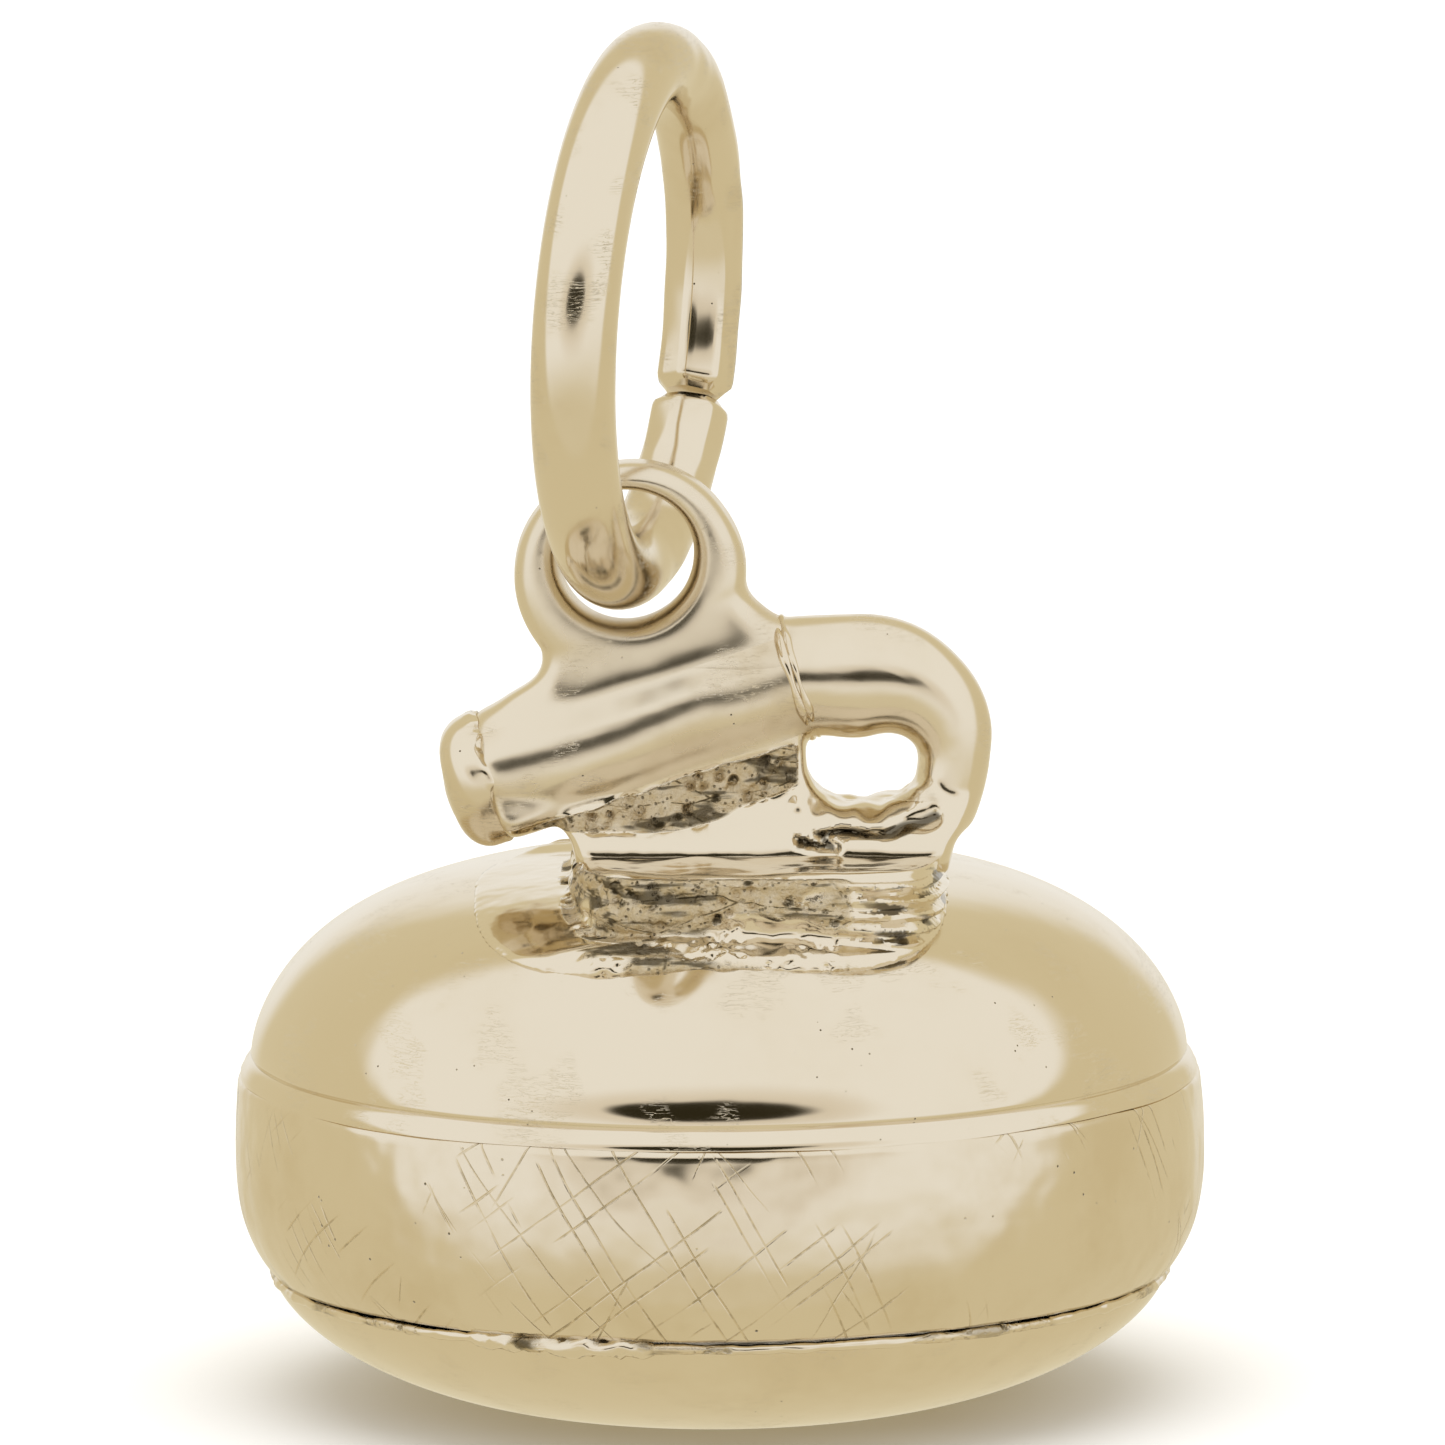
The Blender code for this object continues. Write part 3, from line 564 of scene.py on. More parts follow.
def superellipse(edge_radius, edge_z, top_z, rise_power, side_power, steps, last=math.pi / 2):
    """(r, z) points from an edge at edge_z to the axis at top_z."""
    points = []
    for i in range(steps + 1):
        a = last * i / steps
        r = edge_radius * max(math.cos(a), 0.0) ** (2 / side_power)
        points.append((r if r > 1e-6 else 0.0, edge_z + (top_z - edge_z) * math.sin(a) ** (2 / rise_power)))
    return points


def dome_sizes():
    """The dome's edge radius, edge height and top height, in millimetres."""
    stone = bpy.context.scene.charm_stone
    _, shell_high = node_box("stone_top_shell")
    _, band_high = node_box("striking_band")
    return band_high.x - stone.dome_inset, band_high.z + stone.ledge_height, shell_high.z


def dome_height(x, y):
    stone = bpy.context.scene.charm_stone
    radius, edge_z, top_z = dome_sizes()
    share = min(math.hypot(x, y) / radius, 1.0)
    rise = (1.0 - share ** stone.side_power) ** (1 / stone.rise_power)
    return edge_z + (top_z - edge_z) * rise


def build_dome():
    stone = bpy.context.scene.charm_stone
    radius, edge_z, top_z = dome_sizes()
    dome = superellipse(radius, edge_z, top_z, stone.rise_power, stone.side_power, 72)[::-1]
    # The lip of the ledge: how far out and how far down each point is from the dome's edge.
    steps = ((-0.012, 0.02), (-0.015, 0.04), (0.012, 0.055), (0.05, 0.085), (0.082, 0.13), (0.10, 0.175),
             (0.118, 0.205), (0.12, 0.27))
    ledge = [(radius + out, edge_z - down) for out, down in steps]
    under = [(radius + 0.05, edge_z - 0.27), (radius - 0.5, edge_z - 0.27),
             (radius - 0.6, edge_z + 0.2)]
    inside = superellipse(radius - 0.6, edge_z + 0.2, top_z - 0.5, stone.rise_power, stone.side_power, 24)
    bm = turned(dome + ledge + under + inside[1:], False, stone.turns)
    edge = radius * 0.9
    ripple(bm, stone.wave * 1.4, 1.3, 1.0, lambda p: 0.35 + smooth_step((math.hypot(p.x, p.y) - edge) / 0.5))
    finish_piece("upper_shell", bm, "stone_top_shell", polished_gold("dome_gold", wave=0.012, tarnish=0.12))


def unroll(thing, radius):
    """Give a hoop a UV map of its unrolled outside, in millimetres, joined at the back."""
    layer = thing.data.uv_layers.new(name="unrolled")
    for face in thing.data.polygons:
        middle = math.atan2(face.center.x, -face.center.y)
        for place in face.loop_indices:
            point = thing.data.vertices[thing.data.loops[place].vertex_index].co
            turn = math.atan2(point.x, -point.y)
            turn += math.tau * round((middle - turn) / math.tau)
            layer.data[place].uv = (turn * radius, point.z / MM)


def build_band():
    stone = bpy.context.scene.charm_stone
    low, high = node_box("striking_band")
    radius = high.x
    corner = 0.1
    widest = high.z - 0.78
    outside = []
    for i in range(13):
        t = i / 12
        outside.append((radius - 0.04 + 0.04 * math.sin(t * math.pi / 2),
                        high.z - corner - (0.78 - corner) * t))
    for i in range(1, 29):
        t = i / 28
        outside.append((radius - 0.38 * t ** 3.2, widest + (low.z - widest) * t))
    top = [(radius - 0.5, high.z), (radius - 0.2, high.z), (radius - 0.12, high.z - 0.008),
           (radius - 0.075, high.z - 0.03), (radius - 0.05, high.z - 0.06)]
    profile = top + outside + [(radius - 0.45, low.z - 0.01), (radius - 0.9, low.z - 0.01),
                               (radius - 0.9, widest)]
    bm = turned(profile, True, 480)
    outer = radius - 0.42
    ripple(bm, stone.wave * 1.6, 1.7, 2.0, lambda p: 1.0 if math.hypot(p.x, p.y) > outer else 0.0)
    ripple(bm, stone.wave * 0.5, 0.5, 3.0, lambda p: 1.0 if math.hypot(p.x, p.y) > outer else 0.0)
    thing = finish_piece("striking_hoop", bm, "striking_band", engraved_gold("band_gold"))
    unroll(thing, radius)


def build_seam():
    """A solder bead: thin and ragged all round, thick in one stretch."""
    low, high = node_box("base_solder_seam")
    middle = (low.z + high.z) / 2
    bm = bmesh.new()
    section = bmesh.ops.create_circle(bm, cap_ends=False, segments=18, radius=0.07,
                                      matrix=Matrix.Translation((0.0, -high.x + 0.05, middle))
                                      @ Matrix.Rotation(math.pi / 2, 4, "Y"))
    edges = edges_of(section["verts"])
    bmesh.ops.spin(bm, geom=section["verts"] + edges, cent=(0.0, 0.0, 0.0), axis=(0.0, 0.0, 1.0),
                   angle=math.tau, steps=480, use_merge=True)
    clean(bm)

    def swell(point):
        turn = math.degrees(math.atan2(point.x, -point.y))
        return smooth_step((turn + 34.0) / 3.0) * smooth_step((-8.0 - turn) / 2.0)

    bm.normal_update()
    for v in bm.verts:
        v.co += v.normal * (0.05 * swell(v.co) - 0.01)
    ripple(bm, 0.025, 0.35, 4.0)
    ripple(bm, 0.05, 0.12, 5.0, lambda p: 0.25 + swell(p))
    marked(bm, lambda p: 0.3 + swell(p), lambda p: 0.0)
    finish_piece("solder_bead", bm, "base_solder_seam", porous_gold("solder_gold", amount=0.45))


def build_base():
    stone = bpy.context.scene.charm_stone
    seam_low, _ = node_box("base_solder_seam")
    _, band_high = node_box("striking_band")
    radius = band_high.x - 0.45
    flat = (1.0 - (stone.base_flat / radius) ** stone.base_side_power) ** (1 / stone.base_rise_power)
    last = math.asin(flat ** (stone.base_rise_power / 2))
    top_z = seam_low.z + 0.02
    side = superellipse(radius, top_z, top_z * (1.0 - 1.0 / flat), stone.base_rise_power,
                        stone.base_side_power, 48, last)
    side[-1] = (side[-1][0], 0.0)
    wall = 0.5
    cup = [(0.0, stone.cup_depth), (stone.cup_radius * 0.4, stone.cup_depth * 0.97),
           (stone.cup_radius * 0.75, stone.cup_depth * 0.75),
           (stone.cup_radius * 0.93, stone.cup_depth * 0.35),
           (stone.cup_radius, 0.0)]
    inside = [(radius - wall, top_z), (radius - wall, top_z * 0.7), (radius * 0.6, wall + stone.cup_depth),
              (0.0, wall + stone.cup_depth)]
    bm = turned(cup + side[::-1] + inside, False, stone.turns)
    ripple(bm, stone.wave, 1.6, 6.0, lambda p: smooth_step(p.z / 0.4))
    finish_piece("lower_shell", bm, "stone_base_shell", polished_gold("base_gold", wave=0.012, tarnish=0.2))


# Handle

def grip_frame():
    """The grip's left end, its direction, its upward normal and its length, in millimetres."""
    handle = bpy.context.scene.charm_handle
    left, right = Vector(handle.grip_left), Vector(handle.grip_right)
    along = (right - left).normalized()
    return left, along, Vector((-along.z, 0.0, along.x)), (right - left).length


def onto_grip(bm):
    """Turn a piece made round Z so that it lies along the grip, its zero at the grip's left end."""
    left, along, _, _ = grip_frame()
    turn = Matrix.Rotation(math.atan2(along.x, along.z), 4, "Y")
    bmesh.ops.transform(bm, matrix=Matrix.Translation(left) @ turn, verts=bm.verts)
    return bm


def neck_stations():
    """The gooseneck: from inside the grip, level past the collar, round the bend and down."""
    low, high = node_box("gooseneck")
    left, along, _, length = grip_frame()
    handle = bpy.context.scene.charm_handle
    start = left + along * (length - 0.4)
    lean = math.atan2(along.z, along.x)
    top_half, side_half = 0.715, 0.44
    top_z = high.z - top_half
    side_x = high.x - side_half
    bend_x, bend_z = side_x - 0.99, top_z - 0.885
    rows = [(start.x, start.z, lean, handle.right_radius * 0.98, handle.right_radius * 0.98)]
    first = left + along * (length + 0.12)
    for i in range(9):
        t = i / 8
        s = smooth_step(t)
        rows.append((first.x + (bend_x - first.x) * t,
                     first.z + (top_z - first.z) * math.sin(t * math.pi / 2),
                     lean * (1.0 - s), handle.right_radius + (top_half - handle.right_radius) * s,
                     handle.right_radius + (0.68 - handle.right_radius) * s))
    for i in range(1, 25):
        a = math.pi / 2 * i / 24
        t = i / 24
        heading = -math.atan2((top_z - bend_z) * math.sin(a), (side_x - bend_x) * math.cos(a))
        rows.append((bend_x + (side_x - bend_x) * math.sin(a),
                     bend_z + (top_z - bend_z) * math.cos(a), heading,
                     top_half + (side_half - top_half) * t, 0.68 - 0.09 * t))
    end_z = low.z - 0.1
    for i in range(1, 7):
        t = i / 6
        rows.append((side_x - 0.25 * t * t, bend_z + (end_z - bend_z) * t, -math.pi / 2, side_half,
                     0.59 - 0.05 * t))
    side = Vector((0.0, 1.0, 0.0))
    return [(Vector((x, HANDLE_Y, z)), Vector((-math.sin(h), 0.0, math.cos(h))), side, half, depth)
            for x, z, h, half, depth in rows]


def bail_blank():
    """The bail's plate: a round head that flares into the grip, with its eye cut."""
    handle = bpy.context.scene.charm_handle
    left, along, _, length = grip_frame()
    _, high = node_box("bail")
    head = (EYE_POINT.x + 0.03, high.z - handle.bail_radius)
    foot_left, foot_right = left + along * 0.05, left + along * (length - 0.05)
    top_left = foot_left.z + handle.left_radius
    outline = [(foot_left.x + 0.1, foot_left.z), (foot_left.x - 0.12, top_left - 0.05),
               (foot_left.x + 0.12, top_left + 0.16), (foot_left.x + 0.46, top_left + 0.34)]
    outline += arc(head, handle.bail_radius, 222, -10, 48)
    outline += [(foot_right.x - 0.34, foot_right.z + handle.right_radius + 0.24),
                (foot_right.x - 0.12, foot_right.z + handle.right_radius + 0.02),
                (foot_right.x, foot_right.z)]
    blank = extruded(outline, handle.bail_thickness, 0.3, 5)
    half = handle.bail_thickness / 2
    spool = [(0.0, -half * 1.6), (handle.eye_radius + 0.45, -half * 1.6)]
    for i in range(13):
        a = math.pi * i / 12
        spool.append((handle.eye_radius + 0.17 - 0.17 * math.sin(a) ** 0.7, -half * math.cos(a)))
    spool += [(handle.eye_radius + 0.45, half * 1.6), (0.0, half * 1.6)]
    cutter = turned(spool, False, 96)
    place = Matrix.Translation((EYE_POINT.x, HANDLE_Y, EYE_POINT.z + 0.14))
    place @= Matrix.Rotation(math.pi / 2, 4, "X")
    bmesh.ops.transform(cutter, matrix=place, verts=cutter.verts)
    tool = mesh_object("eye_cutter", cutter)
    blank = with_modifier(blank, "BOOLEAN", operation="DIFFERENCE", object=tool)
    bpy.data.objects.remove(tool)
    return blank


def web_blank():
    """The web's plate, from the foot up into the grip and the gooseneck."""
    handle = bpy.context.scene.charm_handle
    low, high = node_box("handle_web")
    outline = [(low.x + 0.13, low.z - 0.3), (low.x + 0.08, low.z + 0.1), (low.x - 0.05, low.z + 0.3),
               (low.x - 0.25, low.z + 0.55), (1.0, 8.5)]
    outline += [(1.02, 7.6)] + arc((1.5, 7.63), 0.44, 200, 270, 6)
    outline += [(1.95, 7.2), (2.25, 7.3), (2.6, 7.5), (high.x + 0.02, 7.15), (high.x - 0.08, 6.95),
                (2.72, low.z + 0.05), (2.66, low.z - 0.3)]
    return extruded(outline, handle.web_thickness, 0.2, 4)


def casting():
    """Grip, bail, web and gooseneck as the one cast skin that they are, still in one piece."""
    handle = bpy.context.scene.charm_handle
    left, _, up, length = grip_frame()
    bar = [(0.0, -0.09), (handle.left_radius - 0.07, -0.09), (handle.left_radius - 0.02, -0.06),
           (handle.left_radius, 0.05)]
    bar += [(handle.left_radius + (handle.right_radius - handle.left_radius) * i / 8, length * i / 8)
            for i in range(1, 9)]
    bar += [(0.0, length)]
    grip = onto_grip(turned(bar, False, 96))
    skin = joined([grip, bail_blank(), web_blank(), swept(neck_stations(), 48)])
    skin = remeshed(skin, 0.05, 8)
    joint = [v for v in skin.verts if 0.3 < (v.co - left).dot(up) < 1.25
             and v.co.x < 0.75 and (v.co - EYE_POINT).length > handle.eye_radius + 0.35]
    for _ in range(40):
        relax(skin, joint)
    skin = remeshed(skin, handle.voxel, 4)
    return skin


def web_mask(point):
    """1 in the porous strip under the grip, 0 on everything that was rubbed smooth."""
    left, _, up, _ = grip_frame()
    above = (point - left).dot(up) + 0.05 * noise.noise(point * 2.5)
    strip = smooth_step((-0.60 - above) / 0.10) * smooth_step((above + 1.22) / 0.14)
    return strip * smooth_step((1.0 - point.x) / 0.2) * smooth_step((point.z - 6.95) / 0.1)


# Where the casting is parted, in millimetres: above and below the grip's middle line, past the
# grip's right end, and at the gooseneck's shoulder.
BAIL_CUT = 0.56
WEB_CUT = 0.58
COLLAR_CUT = 0.06
SHOULDER_Z = 7.28

# Lines on the web in the (x, z) plane, in millimetres: a casting crease, sunk and painted with shade, and the
# opening's lower rim.
CREASE = [Vector((x, 0.0, z)) for x, z in ((0.95, 6.83), (1.35, 6.80), (1.15, 6.95), (1.9, 6.92),
                                           (2.5, 7.10))]
RIM = [Vector((x, 0.0, z)) for x, z in ((0.95, 7.30), (1.35, 7.12), (1.9, 7.10), (2.5, 7.36))]


def nearness(point, line, reach):
    """1 on a polyline in the (x, z) plane, fading to 0 at that reach from it."""
    flat = Vector((point.x, 0.0, point.z))
    best = reach
    for start, end in zip(line, line[1:]):
        span = end - start
        share = min(max((flat - start).dot(span) / span.length_squared, 0.0), 1.0)
        best = min(best, (flat - start - span * share).length)
    return smooth_step(1.0 - best / reach)


# The crease's mask: it sinks the crease into the web and, stored as dark, paints shade along it.
def crease_and_shade_mask(point):
    wobble = Vector((noise.noise(point * 3.0), 0.0, noise.noise(point * 3.0 + Vector((5.0, 0.0, 0.0)))))
    return nearness(point + wobble * 0.08, CREASE, 0.10 + 0.05 * noise.noise(point * 2.0))


def build_casting():
    left, along, up, length = grip_frame()
    skin = casting()
    ripple(skin, 0.045, 1.0, 7.0, lambda p: 1.0 - web_mask(p))
    ripple(skin, 0.07, 0.25, 8.0, web_mask)
    pit(skin, 0.14, 0.16, 9.0, 0.55, web_mask)
    skin.normal_update()
    for v in skin.verts:
        v.co -= v.normal * (0.08 * crease_and_shade_mask(v.co))
        v.co += v.normal * (0.05 * nearness(v.co, RIM, 0.22) * (1.0 + 1.5 * noise.noise(v.co * 4.0)))
        spread = smooth_step((7.42 - v.co.z) / 0.75)
        v.co.y = HANDLE_Y + (v.co.y - HANDLE_Y) * (1.0 + 0.85 * spread)
    collar_point = left + along * (length + COLLAR_CUT)
    shoulder = Vector((0.0, HANDLE_Y, SHOULDER_Z))
    bail_point, web_point = left + up * BAIL_CUT, left - up * WEB_CUT
    for point, normal in ((collar_point, along), (shoulder, Vector((0.0, 0.0, 1.0))), (bail_point, up),
                          (web_point, up)):
        bmesh.ops.bisect_plane(skin, geom=skin.verts[:] + skin.edges[:] + skin.faces[:], dist=1e-5,
                               plane_co=point, plane_no=normal)

    def region(face):
        middle = face.calc_center_median()
        if (middle - collar_point).dot(along) > 0.0 and middle.z > shoulder.z:
            return "gooseneck"
        if (middle - bail_point).dot(up) > 0.0:
            return "bail"
        if (middle - web_point).dot(up) > 0.0 and (middle - collar_point).dot(along) < 0.0:
            return "handle_grip"
        return "handle_web"

    regions = [region(face) for face in skin.faces]
    polish = {"gooseneck": ("neck_casting", polished_gold("neck_gold", wave=0.02, roughness=0.18)),
              "bail": ("bail_casting", polished_gold("bail_gold", wave=0.02, roughness=0.25)),
              "handle_grip": ("grip_casting", polished_gold("grip_gold", wave=0.03, wave_length=1.1,
                                                                roughness=0.25, tarnish=0.5)),
              "handle_web": ("web_casting", porous_gold("web_gold", amount=1.0))}
    for node, (name, material) in polish.items():
        part = skin.copy()
        part.faces.ensure_lookup_table()
        others = [part.faces[i] for i, there in enumerate(regions) if there != node]
        bmesh.ops.delete(part, geom=others, context="FACES")
        bmesh.ops.holes_fill(part, edges=[e for e in part.edges if e.is_boundary], sides=0)
        bmesh.ops.triangulate(part, faces=[f for f in part.faces if len(f.verts) > 4])
        # The crease mask goes in as dark: painted shade along the web's crease.
        marked(part, web_mask, crease_and_shade_mask)
        finish_piece(name, part, node, material, sharp=60.0)
    skin.free()


def build_cap():
    """End cap: a hand-filed button, a little flattened in front, with a ragged seam."""
    handle = bpy.context.scene.charm_handle
    radius = handle.left_radius
    long = 0.6
    profile = [(0.0, -long), (radius * 0.2, -long * 0.995), (radius * 0.42, -long * 0.96)]
    for i in range(15):
        a = math.pi / 2 * i / 14
        profile.append((radius * 0.5 + radius * 0.5 * math.sin(a), -long * 0.94 + 0.36 * (1.0 - math.cos(a))))
    profile += [(radius * 1.005, -0.12), (radius, -0.06), (radius * 0.975, -0.02), (radius * 0.95, 0.02),
                (radius * 0.5, 0.03), (0.0, 0.03)]
    bm = turned(profile, False, 128)
    bmesh.ops.subdivide_edges(bm, edges=[e for e in bm.edges if e.calc_length() > 0.05], cuts=1,
                              use_grid_fill=True)
    ripple(bm, 0.07, 0.75, 10.0)
    ripple(bm, 0.05, 0.17, 11.0, lambda p: smooth_step((p.z + 0.16) / 0.12))
    onto_grip(bm)
    finish_piece("cap_button", bm, "grip_end_cap",
                 polished_gold("cap_gold", wave=0.03, tarnish=0.3, roughness=0.15))


def build_collar():
    """Collar: two fine beads, uneven as hand soldering leaves them."""
    handle = bpy.context.scene.charm_handle
    _, _, _, length = grip_frame()
    start = length - 0.02
    radius = handle.right_radius + 0.012
    profile = [(radius - 0.2, start)]
    for middle, bead in ((0.045, 0.045), (0.125, 0.035)):
        for i in range(9):
            a = math.pi * i / 8
            profile.append((radius - bead * 0.4 + bead * math.sin(a), start + middle - bead * math.cos(a)))
    profile.append((radius - 0.2, start + 0.165))
    bm = turned(profile, True, 240)
    ripple(bm, 0.04, 0.3, 12.0)
    onto_grip(bm)
    finish_piece("collar_beads", bm, "grip_collar", polished_gold("collar_gold", wave=0.01, tarnish=0.5))


def rounded_loop(bm, centre, halves, power, inset, height, turns):
    """A closed loop on a rounded rectangle, height(x, y) above the ground."""
    points = []
    for turn in range(turns):
        a = math.tau * turn / turns
        c, s = math.cos(a), math.sin(a)
        rim = (abs(c / halves[0]) ** power + abs(s / halves[1]) ** power) ** (-1 / power)
        x, y = centre[0] + (rim - inset) * c, centre[1] + (rim - inset) * s
        points.append(bm.verts.new((x, y, height(x, y))))
    return [bm.edges.new((points[i - 1], points[i])) for i in range(turns)]


def lofted(loops_wanted, centre, halves, power, turns):
    """A closed solid through (inset, height) loops."""
    bm = bmesh.new()
    loops = [rounded_loop(bm, centre, halves, power, inset, height, turns) for inset, height in loops_wanted]
    for first, second in zip(loops, loops[1:]):
        bmesh.ops.bridge_loops(bm, edges=first + second)
    bmesh.ops.edgeloop_fill(bm, edges=loops[0])
    bmesh.ops.edgeloop_fill(bm, edges=loops[-1])
    clean(bm)
    return bm


def build_foot():
    """Foot: a thin flange that follows the dome and a block on it, pleated at one end."""
    low, high = node_box("handle_foot")
    flange_centre = ((low.x + high.x) / 2, HANDLE_Y)
    flange_halves = ((high.x - low.x) / 2, (high.y - low.y) / 2)

    def lift(y):
        return 0.035 + 0.085 * smooth_step((abs(y - HANDLE_Y) - 1.9) / 0.5)

    def draped(x, y):
        return dome_height(x, y) + lift(y)

    reach = min(flange_halves)
    loops = [(reach * (1.0 - (i + 1) / 21), draped) for i in range(19)]
    loops += [(0.08, draped), (0.04, lambda x, y: draped(x, y) - 0.1 * lift(y)),
              (0.012, lambda x, y: draped(x, y) - 0.3 * lift(y)),
              (0.0, lambda x, y: draped(x, y) - 0.6 * lift(y)),
              (-0.015, lambda x, y: dome_height(x, y) + 0.01), (0.05, lambda x, y: dome_height(x, y) - 0.06)]
    loops += [(reach * i / 10, lambda x, y: dome_height(x, y) - 0.08) for i in range(1, 10)]
    flange = lofted(loops, flange_centre, flange_halves, 3.0, 280)
    block_centre, block_halves, top = (0.46, HANDLE_Y), (2.14, 2.36), high.z
    loops = [(1.6 - 0.1 * i, lambda x, y: top) for i in range(14)]
    loops += [(0.22, lambda x, y: top), (0.15, lambda x, y: top - 0.01), (0.09, lambda x, y: top - 0.035),
              (0.05, lambda x, y: top - 0.07)]
    for i in range(16):
        share = i / 15
        loops.append((0.03 * math.sin(share * math.pi * 3.0),
                      lambda x, y, share=share: (top - 0.11) * (1.0 - share) + (draped(x, y) - 0.08) * share))
    block = lofted(loops, block_centre, block_halves, 4.0, 280)
    whole = remeshed(joined([flange, block]), 0.036, 2)

    def pleats(point):
        above = point.z - draped(point.x, point.y)
        return (smooth_step((point.x - 0.9) / 1.2) * smooth_step((top - point.z) / 0.05)
                * smooth_step(above / 0.06))

    whole.normal_update()
    for v in whole.verts:
        fold = math.sin((v.co.z + 0.07 * v.co.x) * math.tau / 0.17)
        v.co += v.normal * (0.045 * fold * pleats(v.co))

    def wall(point):
        """1 on the block's flanks and on the flange's front and back rims."""
        x, y = abs(point.x - block_centre[0]), abs(point.y - HANDLE_Y)
        out = (x / block_halves[0]) ** 4 + (y / block_halves[1]) ** 4
        block_side = smooth_step((out - 0.72) / 0.15) * smooth_step((1.35 - out) / 0.2)
        return max(block_side, smooth_step((y - 2.3) / 0.15))

    def rough(point):
        return wall(point) * smooth_step((1.7 - point.x) / 0.5) * smooth_step((top - 0.03 - point.z) / 0.06)

    ripple(whole, 0.035, 0.7, 16.0, lambda p: smooth_step((p.z - draped(p.x, p.y)) / 0.1))
    ripple(whole, 0.05, 0.35, 13.0, rough)
    pit(whole, 0.09, 0.16, 14.0, 0.5, rough)

    def folds(point):
        """Shade that gathers in some of the pleats."""
        return pleats(point) * smooth_step(noise.noise(Vector((point.x, point.y, point.z * 4.0)) * 1.6) * 3.0)

    marked(whole, rough, folds)
    finish_piece("foot_casting", whole, "handle_foot", porous_gold("foot_gold", amount=0.55))


# Jump ring

def build_ring():
    """An open ring of round wire, squeezed flat by pliers on the side of its filed ends."""
    ring = bpy.context.scene.charm_ring
    lean = math.radians(ring.lean)
    upright = Vector((RING_AXIS.y, -RING_AXIS.x, 0.0)) * math.sin(lean) + Vector((0.0, 0.0, math.cos(lean)))
    centre = EYE_POINT + upright * ring.radius
    away = RING_AXIS
    aside = away.cross(upright)
    opening = ring.gap / ring.radius
    start = math.radians(ring.gap_angle) + opening / 2
    stations = 300
    points = 40
    bm = bmesh.new()
    loops = []
    for i in range(stations + 1):
        share = i / stations
        turn = start + (math.tau - opening) * share
        outward = away * math.cos(turn) + upright * math.sin(turn)
        run = min(share, 1.0 - share) * math.tau * ring.radius
        squeezed = smooth_step((2.9 - share * math.tau * ring.radius) / 0.7)
        squeezed = max(squeezed, 0.7 * smooth_step((1.0 - (1.0 - share) * math.tau * ring.radius) / 0.5))
        chamfer = 1.0 - 0.30 * (1.0 - smooth_step(run / 0.17)) ** 1.5
        far = 0.5 + 0.5 * math.cos(turn)
        wire = ring.wire * (1.02 - 0.07 * far)
        middle = centre + outward * ring.radius
        made = bmesh.ops.create_circle(bm, cap_ends=False, segments=points, radius=1.0)["verts"]
        for v in made:
            a = math.atan2(v.co.y, v.co.x)
            facet = math.tau / 7
            within = (a + 0.35) % facet - facet / 2
            flat = 0.925 / math.cos(within)
            reach = wire * chamfer * (1.0 + (min(flat, 1.0) - 1.0) * squeezed)
            v.co = middle + (outward * math.cos(a) + aside * math.sin(a)) * reach
        loops.append(edges_of(made))
    for first, second in zip(loops, loops[1:]):
        bmesh.ops.bridge_loops(bm, edges=first + second)
    bmesh.ops.edgeloop_fill(bm, edges=loops[0])
    bmesh.ops.edgeloop_fill(bm, edges=loops[-1])
    clean(bm)

    def worked(point):
        return smooth_step((point - centre).dot(away) / 1.0 + 0.2)

    ripple(bm, 0.02, 0.6, 15.0, worked)
    finish_piece("ring_wire", bm, "jump_ring",
                 polished_gold("ring_gold", wave=0.01, scratch=0.5, tarnish=0.25, roughness=0.13),
                 body="ring", sharp=40.0)


# Studio

def build_world():
    """Soft light all round: white in front and above, tan behind, and dark round the lens."""
    studio = bpy.context.scene.charm_studio
    world = bpy.data.worlds.new("studio_light")
    world.use_nodes = True
    bpy.context.scene.world = world
    graph = Graph(world.node_tree)
    sky = world.node_tree.nodes["Background"]
    direction = graph.node("ShaderNodeTexCoord").outputs["Generated"]
    x, y, z = graph.separated(direction)
    facing = y * -0.80 + z * 0.60
    white = facing.smooth(0.0, 0.12) * z.smooth(-0.48, -0.06, 0.1, 1.0)
    white = white.math("MAXIMUM", y.smooth(0.86, 0.96) * z.smooth(-0.35, 0.1, 0.0, 0.8))
    tall = math.radians(studio.elevation)
    ahead = y * -math.cos(tall) + z * math.sin(tall)
    rise = z * math.cos(tall) + y * math.sin(tall)
    wide = (x / ahead + 0.08) / 0.45
    high = (rise / ahead - 0.05) / 0.18
    spread = (wide * wide + high * high).math("SQRT")
    card = (ahead > 0.0) * spread.smooth(0.85, 1.1, 1.0, 0.0)
    walls = (ahead > 0.0) * spread.smooth(1.0, 2.6, 0.4, 0.0)
    light = graph.colour(white, tuple(studio.tan), tuple(studio.white))
    light = graph.colour(walls, light, tuple(studio.amber))
    light = graph.colour(card, light, tuple(studio.shade))
    graph.feed(sky.inputs["Color"], light)
    sky.inputs["Strength"].default_value = 1.0


def build_floor():
    bm = bmesh.new()
    bmesh.ops.create_circle(bm, cap_ends=True, segments=96, radius=1200.0)
    bmesh.ops.scale(bm, vec=(MM, MM, MM), verts=bm.verts)
    floor = mesh_object("floor", bm)
    material = bpy.data.materials.new("white_paper")
    material.use_nodes = True
    graph = Graph(material.node_tree)
    shader = material.node_tree.nodes["Principled BSDF"]
    place = graph.millimetres()
    fibre = graph.noise(place, 6.0, 4.0, 0.7)
    graph.feed(shader.inputs["Base Color"], graph.colour(fibre, (0.93, 0.93, 0.925), (0.95, 0.95, 0.95)))
    shader.inputs["Roughness"].default_value = 0.9
    shader.inputs["Specular IOR Level"].default_value = 0.1
    floor.data.materials.append(material)
    floor.visible_glossy = False


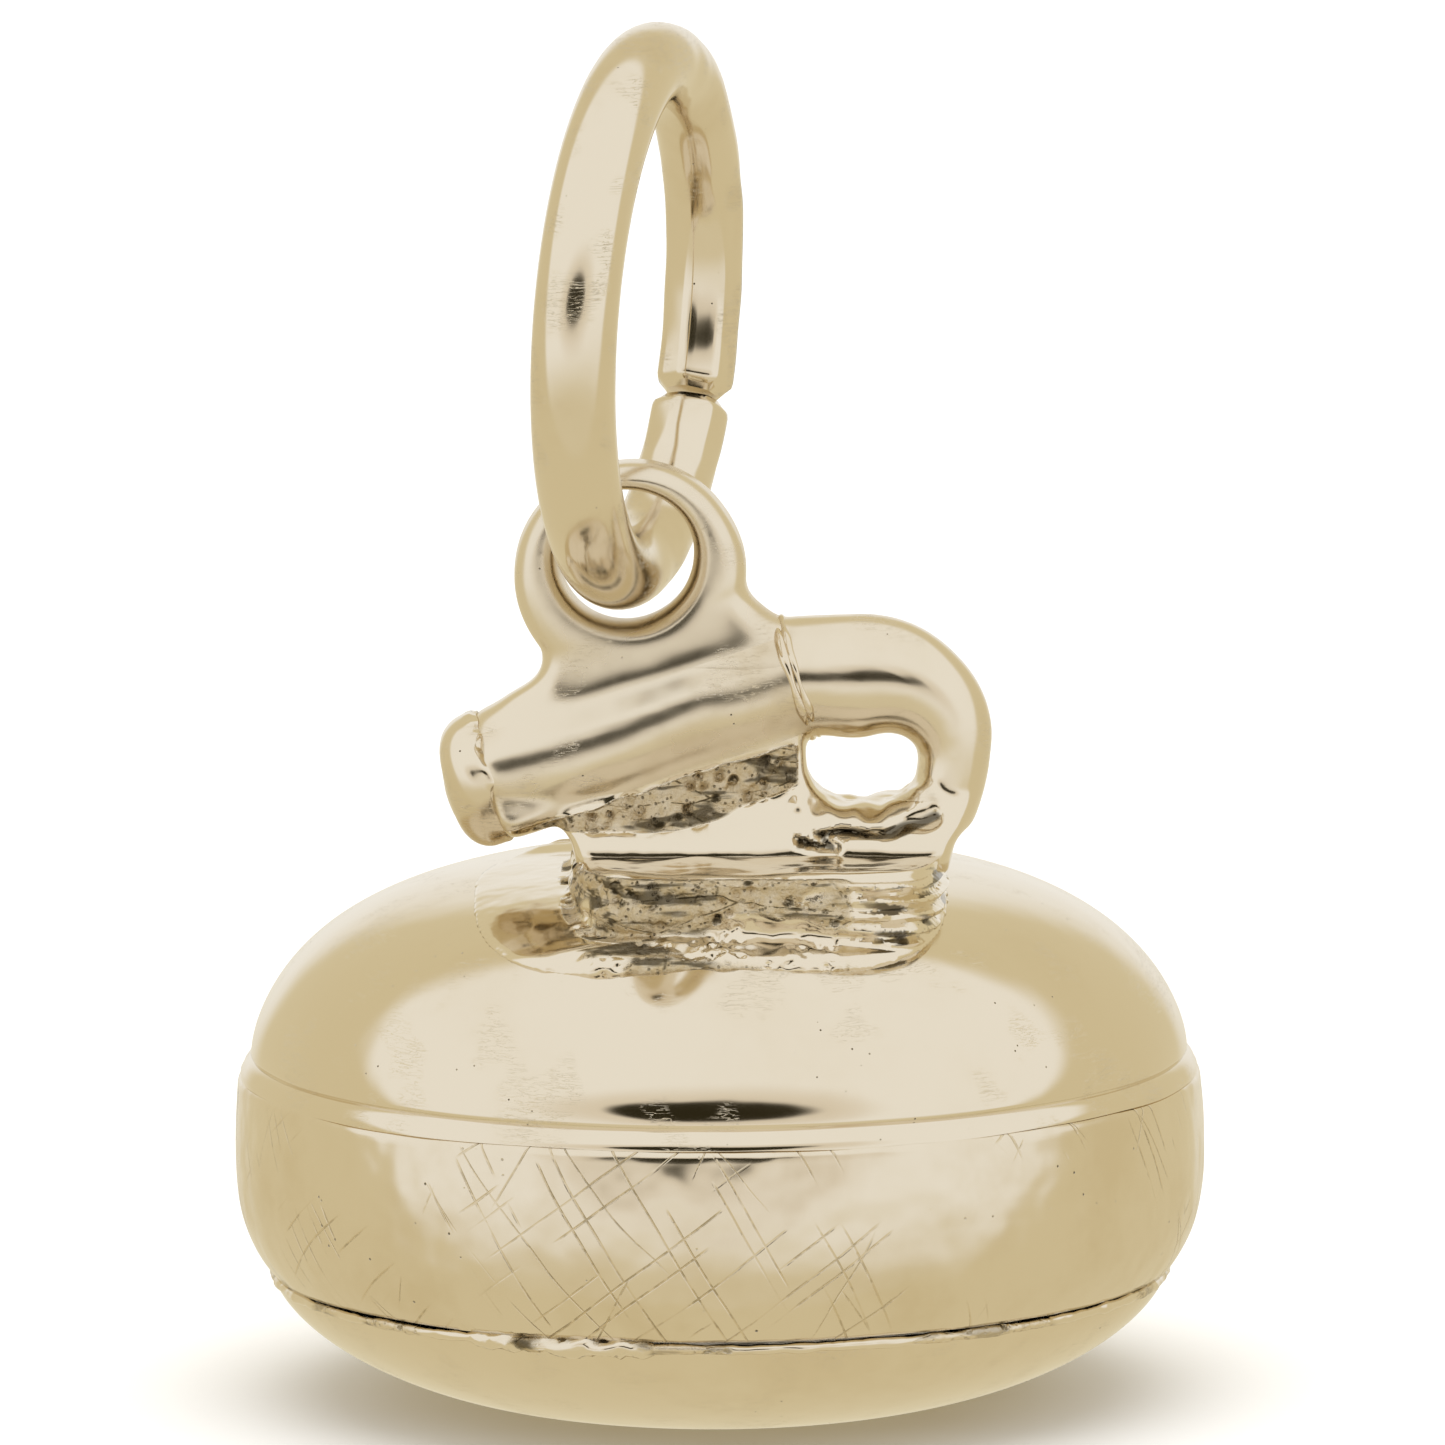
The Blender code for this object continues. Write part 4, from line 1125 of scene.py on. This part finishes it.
def build_lamp():
    """A broad overhead lamp for the floor. It is kept out of the metal's reflections."""
    data = bpy.data.lights.new("floor_lamp", "AREA")
    data.shape = "DISK"
    data.size = 0.5
    data.energy = 1.1
    lamp = bpy.data.objects.new("floor_lamp", data)
    lamp.location = (0.0, -0.05, 0.45)
    lamp.visible_glossy = False
    bpy.context.scene.collection.objects.link(lamp)


def build_camera():
    studio = bpy.context.scene.charm_studio
    data = bpy.data.cameras.new("camera")
    data.sensor_width = 36.0
    data.lens = data.sensor_width * studio.distance / studio.field
    data.clip_start = 0.01
    data.clip_end = 10.0
    camera = bpy.data.objects.new("camera", data)
    tall = math.radians(studio.elevation)
    back = Vector((0.0, -math.cos(tall), math.sin(tall)))
    aim = Vector((studio.aim_x, 0.0, studio.aim_z))
    roll = Matrix.Rotation(math.radians(studio.roll), 4, "Z")
    camera.matrix_world = Matrix.Translation((aim + back * studio.distance) * MM) \
        @ back.to_track_quat("Z", "Y").to_matrix().to_4x4() @ roll
    bpy.context.scene.collection.objects.link(camera)
    bpy.context.scene.camera = camera


# Operators

class CHARM_OT_stone(bpy.types.Operator):
    """Build the upper shell, the striking band, the solder bead and the lower shell"""
    bl_idname = "charm.stone"
    bl_label = "Stone"

    def execute(self, context):
        build_dome()
        build_band()
        build_seam()
        build_base()
        return {"FINISHED"}


class CHARM_OT_casting(bpy.types.Operator):
    """Build the cast grip, bail, web and gooseneck"""
    bl_idname = "charm.casting"
    bl_label = "Handle casting"

    def execute(self, context):
        build_casting()
        return {"FINISHED"}


class CHARM_OT_foot(bpy.types.Operator):
    """Build the handle's foot"""
    bl_idname = "charm.foot"
    bl_label = "Foot"

    def execute(self, context):
        build_foot()
        return {"FINISHED"}


class CHARM_OT_fittings(bpy.types.Operator):
    """Build the grip's end cap and its collar"""
    bl_idname = "charm.fittings"
    bl_label = "Cap and collar"

    def execute(self, context):
        build_cap()
        build_collar()
        return {"FINISHED"}


class CHARM_OT_ring(bpy.types.Operator):
    """Build the open jump ring"""
    bl_idname = "charm.ring"
    bl_label = "Jump ring"

    def execute(self, context):
        build_ring()
        return {"FINISHED"}


class CHARM_OT_studio(bpy.types.Operator):
    """Build the floor, the light and the camera"""
    bl_idname = "charm.studio"
    bl_label = "Studio"

    def execute(self, context):
        build_world()
        build_floor()
        build_lamp()
        build_camera()
        context.scene.view_settings.view_transform = "Standard"
        return {"FINISHED"}


class CHARM_PT_panel(bpy.types.Panel):
    """The charm's pieces, in the 3D view's sidebar"""
    bl_idname = "CHARM_PT_panel"
    bl_label = "Curling Stone Charm"
    bl_space_type = "VIEW_3D"
    bl_region_type = "UI"
    bl_category = "Charm"

    def draw(self, context):
        for operator in OPERATORS:
            self.layout.operator(operator.bl_idname)


SETTINGS = {"charm_stone": CharmStoneSettings, "charm_handle": CharmHandleSettings,
            "charm_ring": CharmRingSettings, "charm_finish": CharmFinishSettings,
            "charm_studio": CharmStudioSettings}
OPERATORS = (CHARM_OT_stone, CHARM_OT_casting, CHARM_OT_foot, CHARM_OT_fittings, CHARM_OT_ring,
             CHARM_OT_studio)


def register():
    for name, group in SETTINGS.items():
        bpy.utils.register_class(group)
        setattr(bpy.types.Scene, name, PointerProperty(type=group))
    for item in (*OPERATORS, CHARM_PT_panel):
        bpy.utils.register_class(item)


def unregister():
    for item in (CHARM_PT_panel, *reversed(OPERATORS)):
        bpy.utils.unregister_class(item)
    for name, group in SETTINGS.items():
        delattr(bpy.types.Scene, name)
        bpy.utils.unregister_class(group)


def main():
    register()
    bpy.ops.charm.stone()
    bpy.ops.charm.casting()
    bpy.ops.charm.foot()
    bpy.ops.charm.fittings()
    bpy.ops.charm.ring()
    bpy.ops.charm.studio()


if __name__ == "__main__":
    main()
